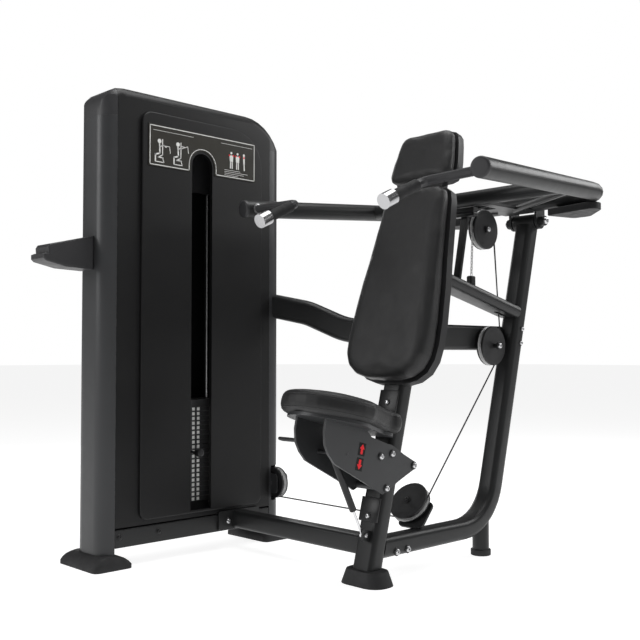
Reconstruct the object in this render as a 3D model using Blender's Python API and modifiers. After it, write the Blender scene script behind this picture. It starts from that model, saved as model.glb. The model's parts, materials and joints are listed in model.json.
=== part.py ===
"""Selectorised shoulder press machine: a slim weight tower and a seat station with a swinging press arm.

Metres, +Z up. The origin is the centre of the machine's footprint on the floor. The user sits facing -Y, and the
weight tower stands on the user's right, at -X, with its slotted face towards the seat.
"""

from math import atan2, cos, pi, radians, sin, sqrt, tan

import bmesh
import bpy
from mathutils import Matrix, Vector

# ---------------------------------------------------------------- driving dimensions
GAP = 0.0003                      # between neighbouring solids
STATION_X = 0.19                  # middle plane of seat, back and cable

# weight tower
TOWER_X = (-0.660, -0.485)        # back face, front face
TOWER_Y = (-0.605, 0.15)
TOWER_TOP = 1.546
POST_FRONT_Y = -0.558             # inner side of the front upright
POST_REAR_Y = 0.085               # inner side of the rear upright
POST_CORNER = 0.055
CAP_SEAM_Z = (1.447, 1.43)        # front upright, rear upright
ARCH = (0.075, 0.17)              # radius of the top corners, front and rear
ARCH_EDGE = 0.03                  # rounding of the covers along the arch
FOOT_TOP = 0.044
FOOT_X = (-0.6966, -0.4634)
RAIL_Z = (0.063, 0.122)
SHELL = 0.004
SLOT_Y = (-0.2735, -0.1865)
SLOT_Z = (0.15, 1.37)

# weight stack
STACK_Y = -0.23
STACK_X = -0.585
PLATE_PITCH = 0.0163
PLATES = 20
UPPER_PLATES = 10                 # above the selector pin at rest
STACK_BASE_Z = 0.171
GUIDE_SPREAD = 0.105

# station frame
TUBE_WIDTH = 0.068                # main tube, across X
TUBE_DEPTH = 0.062
TUBE_CORNER = 0.018
BASE_Z = 0.10
LEAN = radians(14.7)              # of the main post
POST_Y0 = -0.126                  # where the post's centre line would meet the floor
POST_WIDTH = 0.08
POST_DEPTH = 0.057
UPRIGHT_LEAN = radians(14.5)
UPRIGHT_Y = 0.744                 # of the rear upright's centre line, at UPRIGHT_Z
UPRIGHT_Z = 1.14

# press arm
PIVOT = Vector((STATION_X, 0.745, 1.16))
ARM_RADIUS = 0.029
ARM_FRONT = (0.477, -0.191, 1.161)      # offset from the station plane, y, z
ARM_TOE_IN = 0.155                # arms converge this much per metre of length
ARM_RISE = 0.065
ARM_BEND = 0.155
REAR_TUBE = (0.70, ARM_FRONT[2] + ARM_RISE * (0.70 - ARM_FRONT[1]))     # y, z of the rear cross tube
FRONT_TUBE = (0.35, 1.196)

# cable and pulleys
WHEEL = 0.068
GROOVE = 0.0585                   # radius of the cable's centre line in the groove
WHEEL_WIDTH = 0.028
WHEEL_STEPS = 26
CABLE = 0.0025
PULLEY_A = (0.476, 1.108)         # y, z
PULLEY_B = (0.517, 0.708)
PULLEY_C = Vector((STATION_X - GROOVE, 0.150, 0.202))
TOWER_PULLEY = Vector((-0.488, 0.118, 0.208))
BASE_WHEEL = 0.0565               # the tower's lower pulley is smaller
BASE_GROOVE = 0.049
HANGER_PIN_Z = 1.190

BLACK = (0.020, 0.020, 0.022)
CHARCOAL = (0.045, 0.046, 0.048)
STEEL = (0.62, 0.62, 0.64)
FINISHES = {
    "frame_paint": (CHARCOAL, 0.35, 0.42),
    "upright_paint": ((0.085, 0.086, 0.088), 0.3, 0.42),
    "cover_plastic": ((0.022, 0.022, 0.024), 0.0, 0.5),
    "cap_plastic": ((0.035, 0.035, 0.038), 0.0, 0.45),
    "rubber": ((0.018, 0.018, 0.018), 0.0, 0.7),
    "vinyl": ((0.03, 0.03, 0.032), 0.0, 0.55),
    "plate_paint": ((0.11, 0.112, 0.115), 0.4, 0.4),
    "black_metal": (BLACK, 0.5, 0.4),
    "nylon": ((0.02, 0.02, 0.02), 0.0, 0.45),
    "chrome": ((0.75, 0.75, 0.76), 1.0, 0.18),
    "steel": (STEEL, 1.0, 0.3),
    "cast_iron": ((0.03, 0.03, 0.03), 0.6, 0.55),
    "placard": ((0.05, 0.045, 0.035), 0.0, 0.3),
    "cable": ((0.015, 0.015, 0.015), 0.0, 0.5),
    "red": ((0.7, 0.02, 0.03), 0.0, 0.4),
}


# ---------------------------------------------------------------- scene and materials
def clear_scene():
    for obj in list(bpy.data.objects):
        bpy.data.objects.remove(obj, do_unlink=True)


def new_collection(name, hidden=False):
    made = bpy.data.collections.new(name)
    bpy.context.scene.collection.children.link(made)
    made.hide_render = hidden
    return made


def make_material(name, colour, metallic, roughness):
    made = bpy.data.materials.new(name)
    made.use_nodes = True
    shader = made.node_tree.nodes["Principled BSDF"]
    shader.inputs["Base Color"].default_value = (*colour, 1.0)
    shader.inputs["Metallic"].default_value = metallic
    shader.inputs["Roughness"].default_value = roughness
    return made


clear_scene()
MACHINE = new_collection("shoulder_press_machine")
HELPERS = new_collection("helpers", hidden=True)
MATERIALS = {name: make_material(name, *look) for name, look in FINISHES.items()}


def place(obj, material, at=(0, 0, 0), smooth=True):
    """Files the object under the machine with its material and origin."""
    for old in list(obj.users_collection):
        old.objects.unlink(obj)
    MACHINE.objects.link(obj)
    obj.data.materials.clear()
    obj.data.materials.append(MATERIALS[material])
    obj.location = at
    if smooth and obj.type == "MESH":
        obj.data.shade_smooth()
        obj.data.set_sharp_from_angle(angle=radians(35))
    return obj


def helper(obj):
    for old in list(obj.users_collection):
        old.objects.unlink(obj)
    HELPERS.objects.link(obj)
    obj.hide_render = True
    obj.display_type = "WIRE"
    return obj


def mesh_object(name, bm):
    mesh = bpy.data.meshes.new(name)
    bmesh.ops.recalc_face_normals(bm, faces=bm.faces)
    bm.to_mesh(mesh)
    bm.free()
    return bpy.data.objects.new(name, mesh)


def linked(obj):
    MACHINE.objects.link(obj)
    return obj


# ---------------------------------------------------------------- basic shapes
def rounded_block(size, corner=0.0, steps=3, axis=None):
    """A bmesh box at the origin; its edges along axis, or all of them, are rounded."""
    bm = bmesh.new()
    bmesh.ops.create_cube(bm, size=1.0)
    bmesh.ops.scale(bm, vec=Vector(size), verts=bm.verts)
    if corner:
        edges = bm.edges[:]
        if axis is not None:
            edges = [e for e in edges if abs((e.verts[0].co - e.verts[1].co)[axis]) > size[axis] / 2]
        bmesh.ops.bevel(bm, geom=edges, offset=corner, segments=steps, affect="EDGES", profile=0.5)
    return bm


def block(name, low, high, material, corner=0.0, axis=None):
    """A box between two corners."""
    low, high = Vector(low), Vector(high)
    bm = rounded_block(high - low, corner, 2, axis)
    return place(linked(mesh_object(name, bm)), material, (low + high) / 2)


AXIS_TURN = {"X": Matrix.Rotation(pi / 2, 3, "Y"), "Y": Matrix.Rotation(-pi / 2, 3, "X"), "Z": Matrix.Identity(3)}


def round_bm(radius, length, axis="Z", sides=24, centre=(0, 0, 0), edge=0.0):
    """A bmesh cylinder, its rims bevelled when edge is given."""
    bm = bmesh.new()
    bmesh.ops.create_cone(bm, cap_ends=True, segments=sides, radius1=radius, radius2=radius, depth=length)
    if edge:
        rims = [e for e in bm.edges if abs(e.verts[0].co.z - e.verts[1].co.z) < 1e-6]
        bmesh.ops.bevel(bm, geom=rims, offset=edge, segments=2, affect="EDGES", profile=0.5)
    bmesh.ops.rotate(bm, cent=(0, 0, 0), matrix=AXIS_TURN[axis], verts=bm.verts)
    bmesh.ops.translate(bm, vec=Vector(centre), verts=bm.verts)
    return bm


def rod(name, radius, length, at, material, edge=0.0):
    return place(linked(mesh_object(name, round_bm(radius, length, edge=edge))), material, at)


def combine(parts, cuts=(), within=()):
    """The Boolean union of the bmeshes in parts, cut to those in within and less those in cuts."""
    base = linked(mesh_object("combined", parts[0]))
    tools = []
    for kind, bodies in (("UNION", parts[1:]), ("INTERSECT", within), ("DIFFERENCE", cuts)):
        for bm in bodies:
            tool = helper(linked(mesh_object("tool", bm)))
            boolean = base.modifiers.new(kind, "BOOLEAN")
            boolean.operation = kind
            boolean.object = tool
            boolean.solver = "EXACT"
            tools.append(tool)
    graph = bpy.context.evaluated_depsgraph_get()
    mesh = bpy.data.meshes.new_from_object(base.evaluated_get(graph))
    for old in (base, *tools):
        bpy.data.objects.remove(old, do_unlink=True)
    bm = bmesh.new()
    bm.from_mesh(mesh)
    return bm


def finished(name, bm, material, at):
    """The bmesh as an object with its origin at a point."""
    bmesh.ops.translate(bm, vec=-Vector(at), verts=bm.verts)
    return place(linked(mesh_object(name, bm)), material, at)


def extruded(outline, thickness, plane="YZ", at=0.0, edge=0.0):
    """A bmesh plate: outline is in the plane's two coordinates, its thickness centred on at, its rims rounded."""
    curve = bpy.data.curves.new("outline", "CURVE")
    curve.dimensions = "2D"
    curve.fill_mode = "BOTH"
    curve.extrude = thickness / 2 - edge
    curve.bevel_depth = edge
    curve.bevel_resolution = 2
    curve.offset = -edge
    spline = curve.splines.new("POLY")
    spline.points.add(len(outline) - 1)
    for point, (u, v) in zip(spline.points, outline):
        point.co = (u, v, 0, 1)
    spline.use_cyclic_u = True
    flat = bpy.data.objects.new("outline", curve)
    MACHINE.objects.link(flat)
    graph = bpy.context.evaluated_depsgraph_get()
    mesh = bpy.data.meshes.new_from_object(flat.evaluated_get(graph))
    bpy.data.objects.remove(flat, do_unlink=True)
    bm = bmesh.new()
    bm.from_mesh(mesh)
    bmesh.ops.remove_doubles(bm, verts=bm.verts, dist=1e-6)
    turn = {
        "XY": Matrix.Identity(3),
        "YZ": Matrix(((0, 0, 1), (1, 0, 0), (0, 1, 0))),
        "XZ": Matrix(((1, 0, 0), (0, 0, -1), (0, 1, 0))),
    }[plane]
    bmesh.ops.transform(bm, matrix=turn.to_4x4(), verts=bm.verts)
    offset = {"XY": (0, 0, at), "YZ": (at, 0, 0), "XZ": (0, at, 0)}[plane]
    bmesh.ops.translate(bm, vec=Vector(offset), verts=bm.verts)
    return bm


def arc(centre, radius, start, end, steps):
    """Points of an arc, in degrees, both ends included."""
    turns = [radians(start + (end - start) * i / steps) for i in range(steps + 1)]
    return [(centre[0] + radius * cos(t), centre[1] + radius * sin(t)) for t in turns]


def filleted(points, radii, steps=4):
    """The closed outline through points, each corner rounded by an arc of its radius."""
    made = []
    for i, (corner, radius) in enumerate(zip(points, radii)):
        corner = Vector(corner)
        before = (Vector(points[i - 1]) - corner).normalized()
        after = (Vector(points[(i + 1) % len(points)]) - corner).normalized()
        if not radius:
            made.append(tuple(corner))
            continue
        half = before.angle(after) / 2
        reach = radius / tan(half)
        centre = corner + (before + after).normalized() * radius / sin(half)
        start, end = corner + before * reach - centre, corner + after * reach - centre
        sweep = start.angle_signed(end) * -1
        for k in range(steps + 1):
            turn = Matrix.Rotation(sweep * k / steps, 2)
            made.append(tuple(centre + turn @ start))
    return made


def bent(points, radii, steps=6):
    """An open 3-D path through points, each inner corner rounded by an arc of its radius."""
    made = [Vector(points[0])]
    for i in range(1, len(points) - 1):
        corner = Vector(points[i])
        before = (Vector(points[i - 1]) - corner).normalized()
        after = (Vector(points[i + 1]) - corner).normalized()
        half = before.angle(after) / 2
        radius = radii[i - 1]
        centre = corner + (before + after).normalized() * radius / sin(half)
        start = corner + before * radius / tan(half) - centre
        end = corner + after * radius / tan(half) - centre
        for k in range(steps + 1):
            made.append(centre + start.slerp(end, k / steps).normalized() * radius)
    made.append(Vector(points[-1]))
    return made


def swept(name, path, width, height, corner, cuts=()):
    """A bmesh tube of rounded rectangular section along path, its ends cut by (point, normal) planes."""
    section = bpy.data.curves.new(f"{name}_section", "CURVE")
    section.dimensions = "2D"
    w, h = width / 2, height / 2
    outline = filleted([(-w, -h), (w, -h), (w, h), (-w, h)], [corner] * 4, 3)
    spline = section.splines.new("POLY")
    spline.points.add(len(outline) - 1)
    for point, (u, v) in zip(spline.points, outline):
        point.co = (u, v, 0, 1)
    spline.use_cyclic_u = True
    profile = bpy.data.objects.new(f"{name}_section", section)
    HELPERS.objects.link(profile)
    curve = bpy.data.curves.new(name, "CURVE")
    curve.dimensions = "3D"
    curve.bevel_mode = "OBJECT"
    curve.bevel_object = profile
    curve.use_fill_caps = True
    curve.twist_mode = "Z_UP"
    line = curve.splines.new("POLY")
    line.points.add(len(path) - 1)
    for point, co in zip(line.points, path):
        point.co = (*co, 1)
    tube = bpy.data.objects.new(name, curve)
    MACHINE.objects.link(tube)
    graph = bpy.context.evaluated_depsgraph_get()
    mesh = bpy.data.meshes.new_from_object(tube.evaluated_get(graph))
    bpy.data.objects.remove(tube, do_unlink=True)
    bpy.data.objects.remove(profile, do_unlink=True)
    bm = bmesh.new()
    bm.from_mesh(mesh)
    bmesh.ops.remove_doubles(bm, verts=bm.verts, dist=1e-6)
    bmesh.ops.recalc_face_normals(bm, faces=bm.faces)
    for point, normal in cuts:
        trim(bm, point, normal)
    return bm


def trim(bm, point, normal):
    """Cuts away what lies beyond the plane on its normal's side, and closes the cut."""
    geometry = bm.verts[:] + bm.edges[:] + bm.faces[:]
    found = bmesh.ops.bisect_plane(
        bm, geom=geometry, dist=1e-7, plane_co=Vector(point), plane_no=Vector(normal), clear_outer=True,
    )
    edges = [g for g in found["geom_cut"] if isinstance(g, bmesh.types.BMEdge)]
    bmesh.ops.holes_fill(bm, edges=edges, sides=0)


def wire(name, path, radius, material, sides=2, origin=None):
    """A round bar along path, as a curve with a round bevel and closed ends."""
    at = Vector(origin) if origin else Vector(path[0])
    curve = bpy.data.curves.new(name, "CURVE")
    curve.dimensions = "3D"
    curve.bevel_depth = radius
    curve.bevel_resolution = sides
    curve.use_fill_caps = True
    line = curve.splines.new("POLY")
    line.points.add(len(path) - 1)
    for point, co in zip(line.points, path):
        point.co = (*(Vector(co) - at), 1)
    made = bpy.data.objects.new(name, curve)
    MACHINE.objects.link(made)
    return place(made, material, at)


def turned(name, profile, material, at, steps):
    """A closed profile of (radius, height) points turned about Z, as a ring."""
    bm = bmesh.new()
    points = [bm.verts.new((r, 0, h)) for r, h in profile]
    for a, b in zip(points, points[1:] + points[:1]):
        bm.edges.new((a, b))
    mesh = bpy.data.meshes.new(name)
    bm.to_mesh(mesh)
    bm.free()
    made = bpy.data.objects.new(name, mesh)
    MACHINE.objects.link(made)
    screw = made.modifiers.new("turn", "SCREW")
    screw.angle = 2 * pi
    screw.steps = steps
    screw.render_steps = steps
    screw.use_merge_vertices = True
    screw.merge_threshold = 0.00001
    screw.use_normal_calculate = True
    return place(made, material, at, smooth=False)


def strut(a, b, radius, sides=24):
    """A bmesh round bar between two points."""
    a, b = Vector(a), Vector(b)
    bm = round_bm(radius, (b - a).length, "Z", sides)
    turn = Vector((0, 0, 1)).rotation_difference(b - a).to_matrix()
    bmesh.ops.rotate(bm, cent=(0, 0, 0), matrix=turn, verts=bm.verts)
    bmesh.ops.translate(bm, vec=(a + b) / 2, verts=bm.verts)
    return bm


def box(low, high, corner=0.0, axis=None, steps=2):
    low, high = Vector(low), Vector(high)
    bm = rounded_block(high - low, corner, steps, axis)
    bmesh.ops.translate(bm, vec=(low + high) / 2, verts=bm.verts)
    return bm


def boot(name, low, high, inset, corner, material):
    """A foot: a block with large upright corners, narrower at its top by the inset of each side."""
    bm = box(low, high, corner, 2, 4)
    middle = (Vector(low) + Vector(high)) / 2
    half = (Vector(high) - Vector(low)) / 2
    top = [v for v in bm.verts if v.co.z > middle.z]
    for vertex in top:
        for i in (0, 1):
            vertex.co[i] = middle[i] + (vertex.co[i] - middle[i]) * (1 - inset[i] / half[i])
    rim = [e for e in bm.edges if e.verts[0] in top and e.verts[1] in top and e.is_manifold]
    rim = [e for e in rim if any(abs(f.normal.z) < 0.9 for f in e.link_faces)]
    bmesh.ops.bevel(bm, geom=rim, offset=0.006, segments=2, affect="EDGES", profile=0.5)
    return finished(name, bm, material, (middle.x, middle.y, low[2]))


def rounded_ring(bm, x, y, z, radius):
    """A closed ring of vertices: a rectangle with rounded corners at one height."""
    corners = [(x[0], y[0]), (x[1], y[0]), (x[1], y[1]), (x[0], y[1])]
    return [bm.verts.new((u, v, z)) for u, v in filleted(corners, [radius] * 4, 4)]


def domed_foot(name, y, top_y):
    """A rubber foot that swells out from the upright's outline to its own on the floor."""
    levels = ((0.0, 0.0), (0.012, 0.0), (0.022, 0.16), (0.031, 0.38), (0.038, 0.66), (FOOT_TOP - GAP, 1.0))
    bm = bmesh.new()
    rings = []
    for z, t in levels:
        xs = [a + (b - a) * t for a, b in zip(FOOT_X, (TOWER_X[0] - 0.003, TOWER_X[1] + 0.003))]
        ys = [a + (b - a) * t for a, b in zip(y, top_y)]
        rings.append(rounded_ring(bm, xs, ys, z, 0.020))
    for low, high in zip(rings, rings[1:]):
        for i, vertex in enumerate(low):
            bm.faces.new((low[i - 1], vertex, high[i], high[i - 1]))
    bm.faces.new(rings[0])
    bm.faces.new(rings[-1])
    return finished(name, bm, "rubber", (sum(FOOT_X) / 2, sum(y) / 2, 0))


def moved(bm, matrix):
    bmesh.ops.transform(bm, matrix=matrix, verts=bm.verts)
    return bm


# ---------------------------------------------------------------- weight tower
ARCH_REAR = (TOWER_Y[1] - ARCH[1], TOWER_TOP - ARCH[1])
ARCH_FRONT = (TOWER_Y[0] + ARCH[0], TOWER_TOP - ARCH[0])


def silhouette(inset=0.0):
    """The tower seen from the side, its foot well below where it is cut."""
    below = -0.1
    return [
        (TOWER_Y[0] + inset, below), (TOWER_Y[1] - inset, below),
        *arc(ARCH_REAR, ARCH[1] - inset, 0, 90, 8),
        *arc(ARCH_FRONT, ARCH[0] - inset, 90, 180, 5),
    ]


def tower_solid(inset=0.0):
    thickness = TOWER_X[1] - TOWER_X[0] - 2 * inset
    return extruded(silhouette(inset), thickness, "YZ", sum(TOWER_X) / 2, edge=ARCH_EDGE - inset)


def tower_plan():
    (x0, x1), (y0, y1), r = TOWER_X, TOWER_Y, POST_CORNER
    plan = filleted([(x0, y0), (x1, y0), (x1, y1), (x0, y1)], [r] * 4, 6)
    return extruded(plan, 1.8, "XY", 0.8)


def tower_part(planes, cuts=(), adds=()):
    bm = tower_solid()
    for point, normal in planes:
        trim(bm, point, normal)
    bm = combine([bm], within=[tower_plan()])
    return combine([bm, *adds], cuts) if cuts or adds else bm


CHANNEL_X = (-0.643, -0.502)
CHANNEL_Y = (-0.580, 0.134)       # bottom of the front and of the rear channel
CHANNEL_CORNER = 0.03
PULLEY_DOOR_Y = (0.095, 0.145)
PULLEY_DOOR_Z = (0.145, 0.271)
CHEEK = 0.004


def channel(y0, y1, top):
    """The hollow of an upright, open towards the weight stack."""
    return box((CHANNEL_X[0], y0, FOOT_TOP + 0.01), (CHANNEL_X[1], y1, top), CHANNEL_CORNER, 2, 3)


def base_pulley_bracket():
    """Two cheeks in the rear upright's doorway and the axle between them."""
    parts = [round_bm(0.008, PULLEY_DOOR_Y[1] - PULLEY_DOOR_Y[0], "Y", 16, TOWER_PULLEY)]
    for y in (PULLEY_DOOR_Y[0] - 0.001, PULLEY_DOOR_Y[1] + 0.001 - CHEEK):
        parts.append(box((-0.556, y, 0.174), (-0.452, y + CHEEK, 0.242), 0.012, 1, 3))
    return parts


def build_tower_posts():
    front = tower_part(
        [((0, POST_FRONT_Y, 0), (0, 1, 0)), ((0, 0, CAP_SEAM_Z[0]), (0, 0, 1)), ((0, 0, FOOT_TOP), (0, 0, -1))],
        [channel(CHANNEL_Y[0], -0.5, CAP_SEAM_Z[0] - 0.01)],
    )
    finished("tower_front_upright", front, "upright_paint", (STACK_X, TOWER_Y[0], FOOT_TOP))
    rear = tower_part(
        [((0, POST_REAR_Y, 0), (0, -1, 0)), ((0, 0, CAP_SEAM_Z[1]), (0, 0, 1)), ((0, 0, FOOT_TOP), (0, 0, -1))],
        [
            channel(0.03, CHANNEL_Y[1], 1.41),
            box((-0.55, PULLEY_DOOR_Y[0], PULLEY_DOOR_Z[0]), (-0.45, PULLEY_DOOR_Y[1], PULLEY_DOOR_Z[1])),
        ],
    )
    rear = combine([rear, *base_pulley_bracket()])
    finished("tower_rear_upright", rear, "upright_paint", (STACK_X, TOWER_Y[1], FOOT_TOP))
    cap = tower_part(
        [((0, POST_FRONT_Y - GAP, 0), (0, 1, 0)), ((0, 0, CAP_SEAM_Z[0] + GAP), (0, 0, -1))]
    )
    finished("tower_front_cap", cap, "cap_plastic", (STACK_X, TOWER_Y[0], CAP_SEAM_Z[0]))
    cap = tower_part(
        [((0, POST_REAR_Y + GAP, 0), (0, -1, 0)), ((0, 0, CAP_SEAM_Z[1] + GAP), (0, 0, -1))]
    )
    finished("tower_rear_cap", cap, "cap_plastic", (STACK_X, TOWER_Y[1], CAP_SEAM_Z[1]))


HOLDER_X = -0.590
COVER_Z = 0.1265
RAISED_X = TOWER_X[1] + 0.010
RAISED_Y = (-0.472, 0.04)
RAISED_Z = (0.142, 1.48)
SLOT_MIDDLE = sum(SLOT_Y) / 2
SLOT_RADIUS = (SLOT_Y[1] - SLOT_Y[0]) / 2


def slot_outline(grow=0.0):
    r = SLOT_RADIUS + grow
    return [
        (SLOT_MIDDLE - r, SLOT_Z[0]), (SLOT_MIDDLE + r, SLOT_Z[0]),
        *arc((SLOT_MIDDLE, SLOT_Z[1] - SLOT_RADIUS), r, 0, 180, 12),
    ]


def raised_panel():
    (y0, y1), (z0, z1) = RAISED_Y, RAISED_Z
    outline = filleted([(y0, z0), (y1, z0), (y1, z1), (y0, z1)], [0.03, 0.03, 0.13, 0.04], 6)
    return extruded(outline, 0.014, "YZ", RAISED_X - 0.007, edge=0.004)


def build_covers():
    sides = (
        ("tower_front_cover", -1, [raised_panel()], [extruded(slot_outline(), 0.06, "YZ", TOWER_X[1])]),
        ("tower_rear_cover", 1, [], []),
    )
    for name, outward, adds, cuts in sides:
        bm = tower_solid()
        for point, normal in (
            ((0, POST_FRONT_Y + GAP, 0), (0, -1, 0)), ((0, POST_REAR_Y - GAP, 0), (0, 1, 0)),
            ((0, 0, COVER_Z), (0, 0, -1)), ((STACK_X - outward * GAP / 2, 0, 0), (outward, 0, 0)),
        ):
            trim(bm, point, normal)
        bm = combine([bm], cuts=[tower_solid(SHELL)])
        bm = combine([bm, *adds], cuts=cuts) if adds else bm
        finished(name, bm, "cover_plastic", (STACK_X, STACK_Y, COVER_Z))


HEAD_Z = (1.335, 1.347)
PULLEY_TOP = (-0.23 + GROOVE, 1.425)
PULLEY_REAR = (0.12 - GROOVE, 1.300)
HEAD_PLATE_X = (-0.5665, -0.5585)
ROD_Z = RAIL_Z[1] + GAP


def build_head_frame():
    """The plate that carries the top pulleys, and the guide rods that hang from its bar."""
    inner = POST_FRONT_Y + GAP
    parts = [
        box((-0.625, inner, HEAD_Z[0]), (HEAD_PLATE_X[1], -0.11, HEAD_Z[1])),
        box((HEAD_PLATE_X[0], -0.30, 1.25), (HEAD_PLATE_X[1], POST_REAR_Y - GAP, 1.452), 0.02, 0),
        box((HEAD_PLATE_X[0], 0.070, 1.262), (TOWER_X[1] - SHELL - GAP, POST_REAR_Y - GAP, 1.325)),
    ]
    for y, z in (PULLEY_TOP, PULLEY_REAR):
        parts.append(round_bm(0.008, 0.036, "X", 16, (HEAD_PLATE_X[1] - 0.0195, y, z)))
    for side in (-1, 1):
        parts.append(strut(
            (STACK_X, STACK_Y + side * GUIDE_SPREAD, ROD_Z), (STACK_X, STACK_Y + side * GUIDE_SPREAD, 1.34), 0.0105,
        ))
    bm = combine(parts, cuts=[round_bm(0.008, 0.05, "Z", 16, (STACK_X, STACK_Y, HEAD_Z[0]))])
    finished("guide_rod_frame", bm, "steel", (STACK_X, STACK_Y, ROD_Z))


def build_tower_trim():
    inner = (POST_FRONT_Y + GAP, POST_REAR_Y - GAP)
    block("tower_bottom_rail", (-0.65, inner[0], RAIL_Z[0]), (TOWER_X[1], inner[1], RAIL_Z[1]), "frame_paint", 0.004)
    domed_foot("tower_front_foot", (-0.640, -0.500), (TOWER_Y[0] - 0.003, POST_FRONT_Y + 0.004))
    domed_foot("tower_rear_foot", (0.052, 0.192), (POST_REAR_Y - 0.004, TOWER_Y[1] + 0.003))
    z0, z1, r = 1.30, 1.44, SLOT_RADIUS + 0.008
    notch = arc((SLOT_MIDDLE, SLOT_Z[1] - SLOT_RADIUS), r, 180, 0, 12)
    outline = [(-0.45, z0), (SLOT_MIDDLE - r, z0), *notch, (SLOT_MIDDLE + r, z0), (0.005, z0), (0.005, z1), (-0.45, z1)]
    face = (RAISED_X + GAP + 0.001, SLOT_MIDDLE, z0)
    finished("placard", extruded(outline, 0.002, "YZ", face[0]), "placard", face)
    face = TOWER_Y[0] - GAP
    side = [
        (face, 0.950), (-0.700, 0.953), (-0.742, 0.962), (-0.770, 0.968), (-0.7786, 0.976), (-0.7786, 0.990),
        (-0.770, 0.994), (-0.762, 0.992), (-0.764, 1.012), (-0.757, 1.022), (-0.70, 1.036), (face, 1.060),
    ]
    body = extruded(side, 0.090, "YZ", HOLDER_X, edge=0.006)
    trim(body, (0, face, 0), (0, 1, 0))
    pocket = box((HOLDER_X - 0.036, -0.750, 0.964), (HOLDER_X + 0.036, -0.622, 1.2), 0.022, 2, 3)
    finished("bottle_holder", combine([body], cuts=[pocket]), "cap_plastic", (HOLDER_X, face, 0.95))


# ---------------------------------------------------------------- weight stack
SEAM = STACK_BASE_Z + (PLATES - UPPER_PLATES) * PLATE_PITCH
STACK_TOP = STACK_BASE_Z + PLATES * PLATE_PITCH
PIN_Z = SEAM + PLATE_PITCH / 2
STEM_TOP = 0.565
STEM_RADIUS = 0.010


def plate_group(low, count):
    """A pile of plates, with a notch at each seam on the faces that the slot shows."""
    back, front, notch = -0.64, -0.53, 0.0012
    right, left = [], []
    for i in range(count):
        z0, z1 = low + i * PLATE_PITCH, low + (i + 1) * PLATE_PITCH
        right += [(front - notch, z0), (front, z0 + notch), (front, z1 - notch)]
        left += [(back + notch, z0), (back, z0 + notch), (back, z1 - notch)]
    top = low + count * PLATE_PITCH
    outline = right + [(front - notch, top), (back + notch, top)] + left[::-1]
    return extruded(outline, 0.30, "XZ", STACK_Y)


def rod_holes(height, centre=True):
    holes = [
        round_bm(0.0125, height, "Z", 20, (STACK_X, STACK_Y + side * GUIDE_SPREAD, STACK_BASE_Z + 0.1))
        for side in (-1, 1)
    ]
    if centre:
        holes.append(round_bm(STEM_RADIUS + 0.0025, height, "Z", 20, (STACK_X, STACK_Y, STACK_BASE_Z + 0.1)))
    return holes


def build_stack():
    at = (STACK_X, STACK_Y, STACK_BASE_Z)
    block(
        "stack_cushion", (-0.63, -0.315, ROD_Z), (-0.54, -0.145, STACK_BASE_Z - GAP), "rubber", 0.006, axis=2,
    )
    lower = combine([plate_group(STACK_BASE_Z, PLATES - UPPER_PLATES)], cuts=rod_holes(1.2))
    trim(lower, (0, 0, SEAM - GAP), (0, 0, 1))
    finished("stack_resting_plates", lower, "plate_paint", at)
    pin_hole = round_bm(0.0046, 0.06, "X", 12, (-0.545, STACK_Y, PIN_Z))
    upper = combine([plate_group(SEAM, UPPER_PLATES)], cuts=[*rod_holes(1.2), pin_hole])
    trim(upper, (0, 0, STACK_TOP - GAP), (0, 0, 1))
    finished("stack_lifted_plates", upper, "plate_paint", (STACK_X, STACK_Y, SEAM))
    top = box((-0.64, -0.38, STACK_TOP), (-0.53, -0.08, STACK_TOP + 0.025), 0.002)
    stem = round_bm(STEM_RADIUS, STEM_TOP - 0.20, "Z", 20, (STACK_X, STACK_Y, (STEM_TOP + 0.20) / 2))
    collar = round_bm(0.016, 0.028, "Z", 20, (STACK_X, STACK_Y, STEM_TOP - 0.014), edge=0.003)
    body = combine([top, stem, collar], cuts=rod_holes(1.2, centre=False))
    finished("stack_top_plate", body, "plate_paint", (STACK_X, STACK_Y, STACK_TOP))
    start = STACK_X + STEM_RADIUS + 0.0005
    shaft = strut((start, STACK_Y, PIN_Z), (-0.49, STACK_Y, PIN_Z), 0.004, 16)
    knob = round_bm(0.0145, 0.027, "X", 20, (-0.4865, STACK_Y, PIN_Z), edge=0.006)
    finished("selector_pin", combine([shaft, knob]), "black_metal", (start, STACK_Y, PIN_Z))


# ---------------------------------------------------------------- pulleys
def wheel(name, at, turn, rim=WHEEL, groove=GROOVE):
    """A grooved wheel with its axle bore, turned about its own Z."""
    half, bore = WHEEL_WIDTH / 2, 0.0083
    side = [(bore, -half), (rim - 0.002, -half), (rim, -half + 0.002), (rim, -0.0065), (groove - 0.0027, -0.0028)]
    profile = side + [(r, -h) for r, h in side[::-1]]
    made = turned(name, profile, "nylon", at, WHEEL_STEPS)
    made.rotation_euler = turn
    return made


ABOUT_X = (0, radians(90), 0)
ABOUT_Y = (radians(-90), 0, 0)


def tangent_angle(a, b, side):
    """The direction, as an angle, of the line from point a that touches the circle of GROOVE about b."""
    a, b = Vector(a), Vector(b)
    d = b - a
    return atan2(d.y, d.x) + side * math_asin(GROOVE / d.length)


def math_asin(value):
    return atan2(value, sqrt(1 - value * value))


C_EXIT = (PULLEY_C.y, PULLEY_C.z)
RUN_ANGLE = tangent_angle(C_EXIT, PULLEY_B, -1)
RUN = Vector((0, cos(RUN_ANGLE), sin(RUN_ANGLE)))
C_AXIS = Vector((0, -RUN.z, RUN.y))
RISE_TILT = atan2(PULLEY_B[0] - PULLEY_A[0], PULLEY_A[1] - PULLEY_B[1])
DROP_ANCHOR = (0.405, 0.9455)
ANCHOR_GAP = 0.0009                 # lets the drop cable tilt on its anchor
WRAP_LOSS = 8.2                     # degrees of the beam pulley that the cable leaves over the press arm's travel


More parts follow.
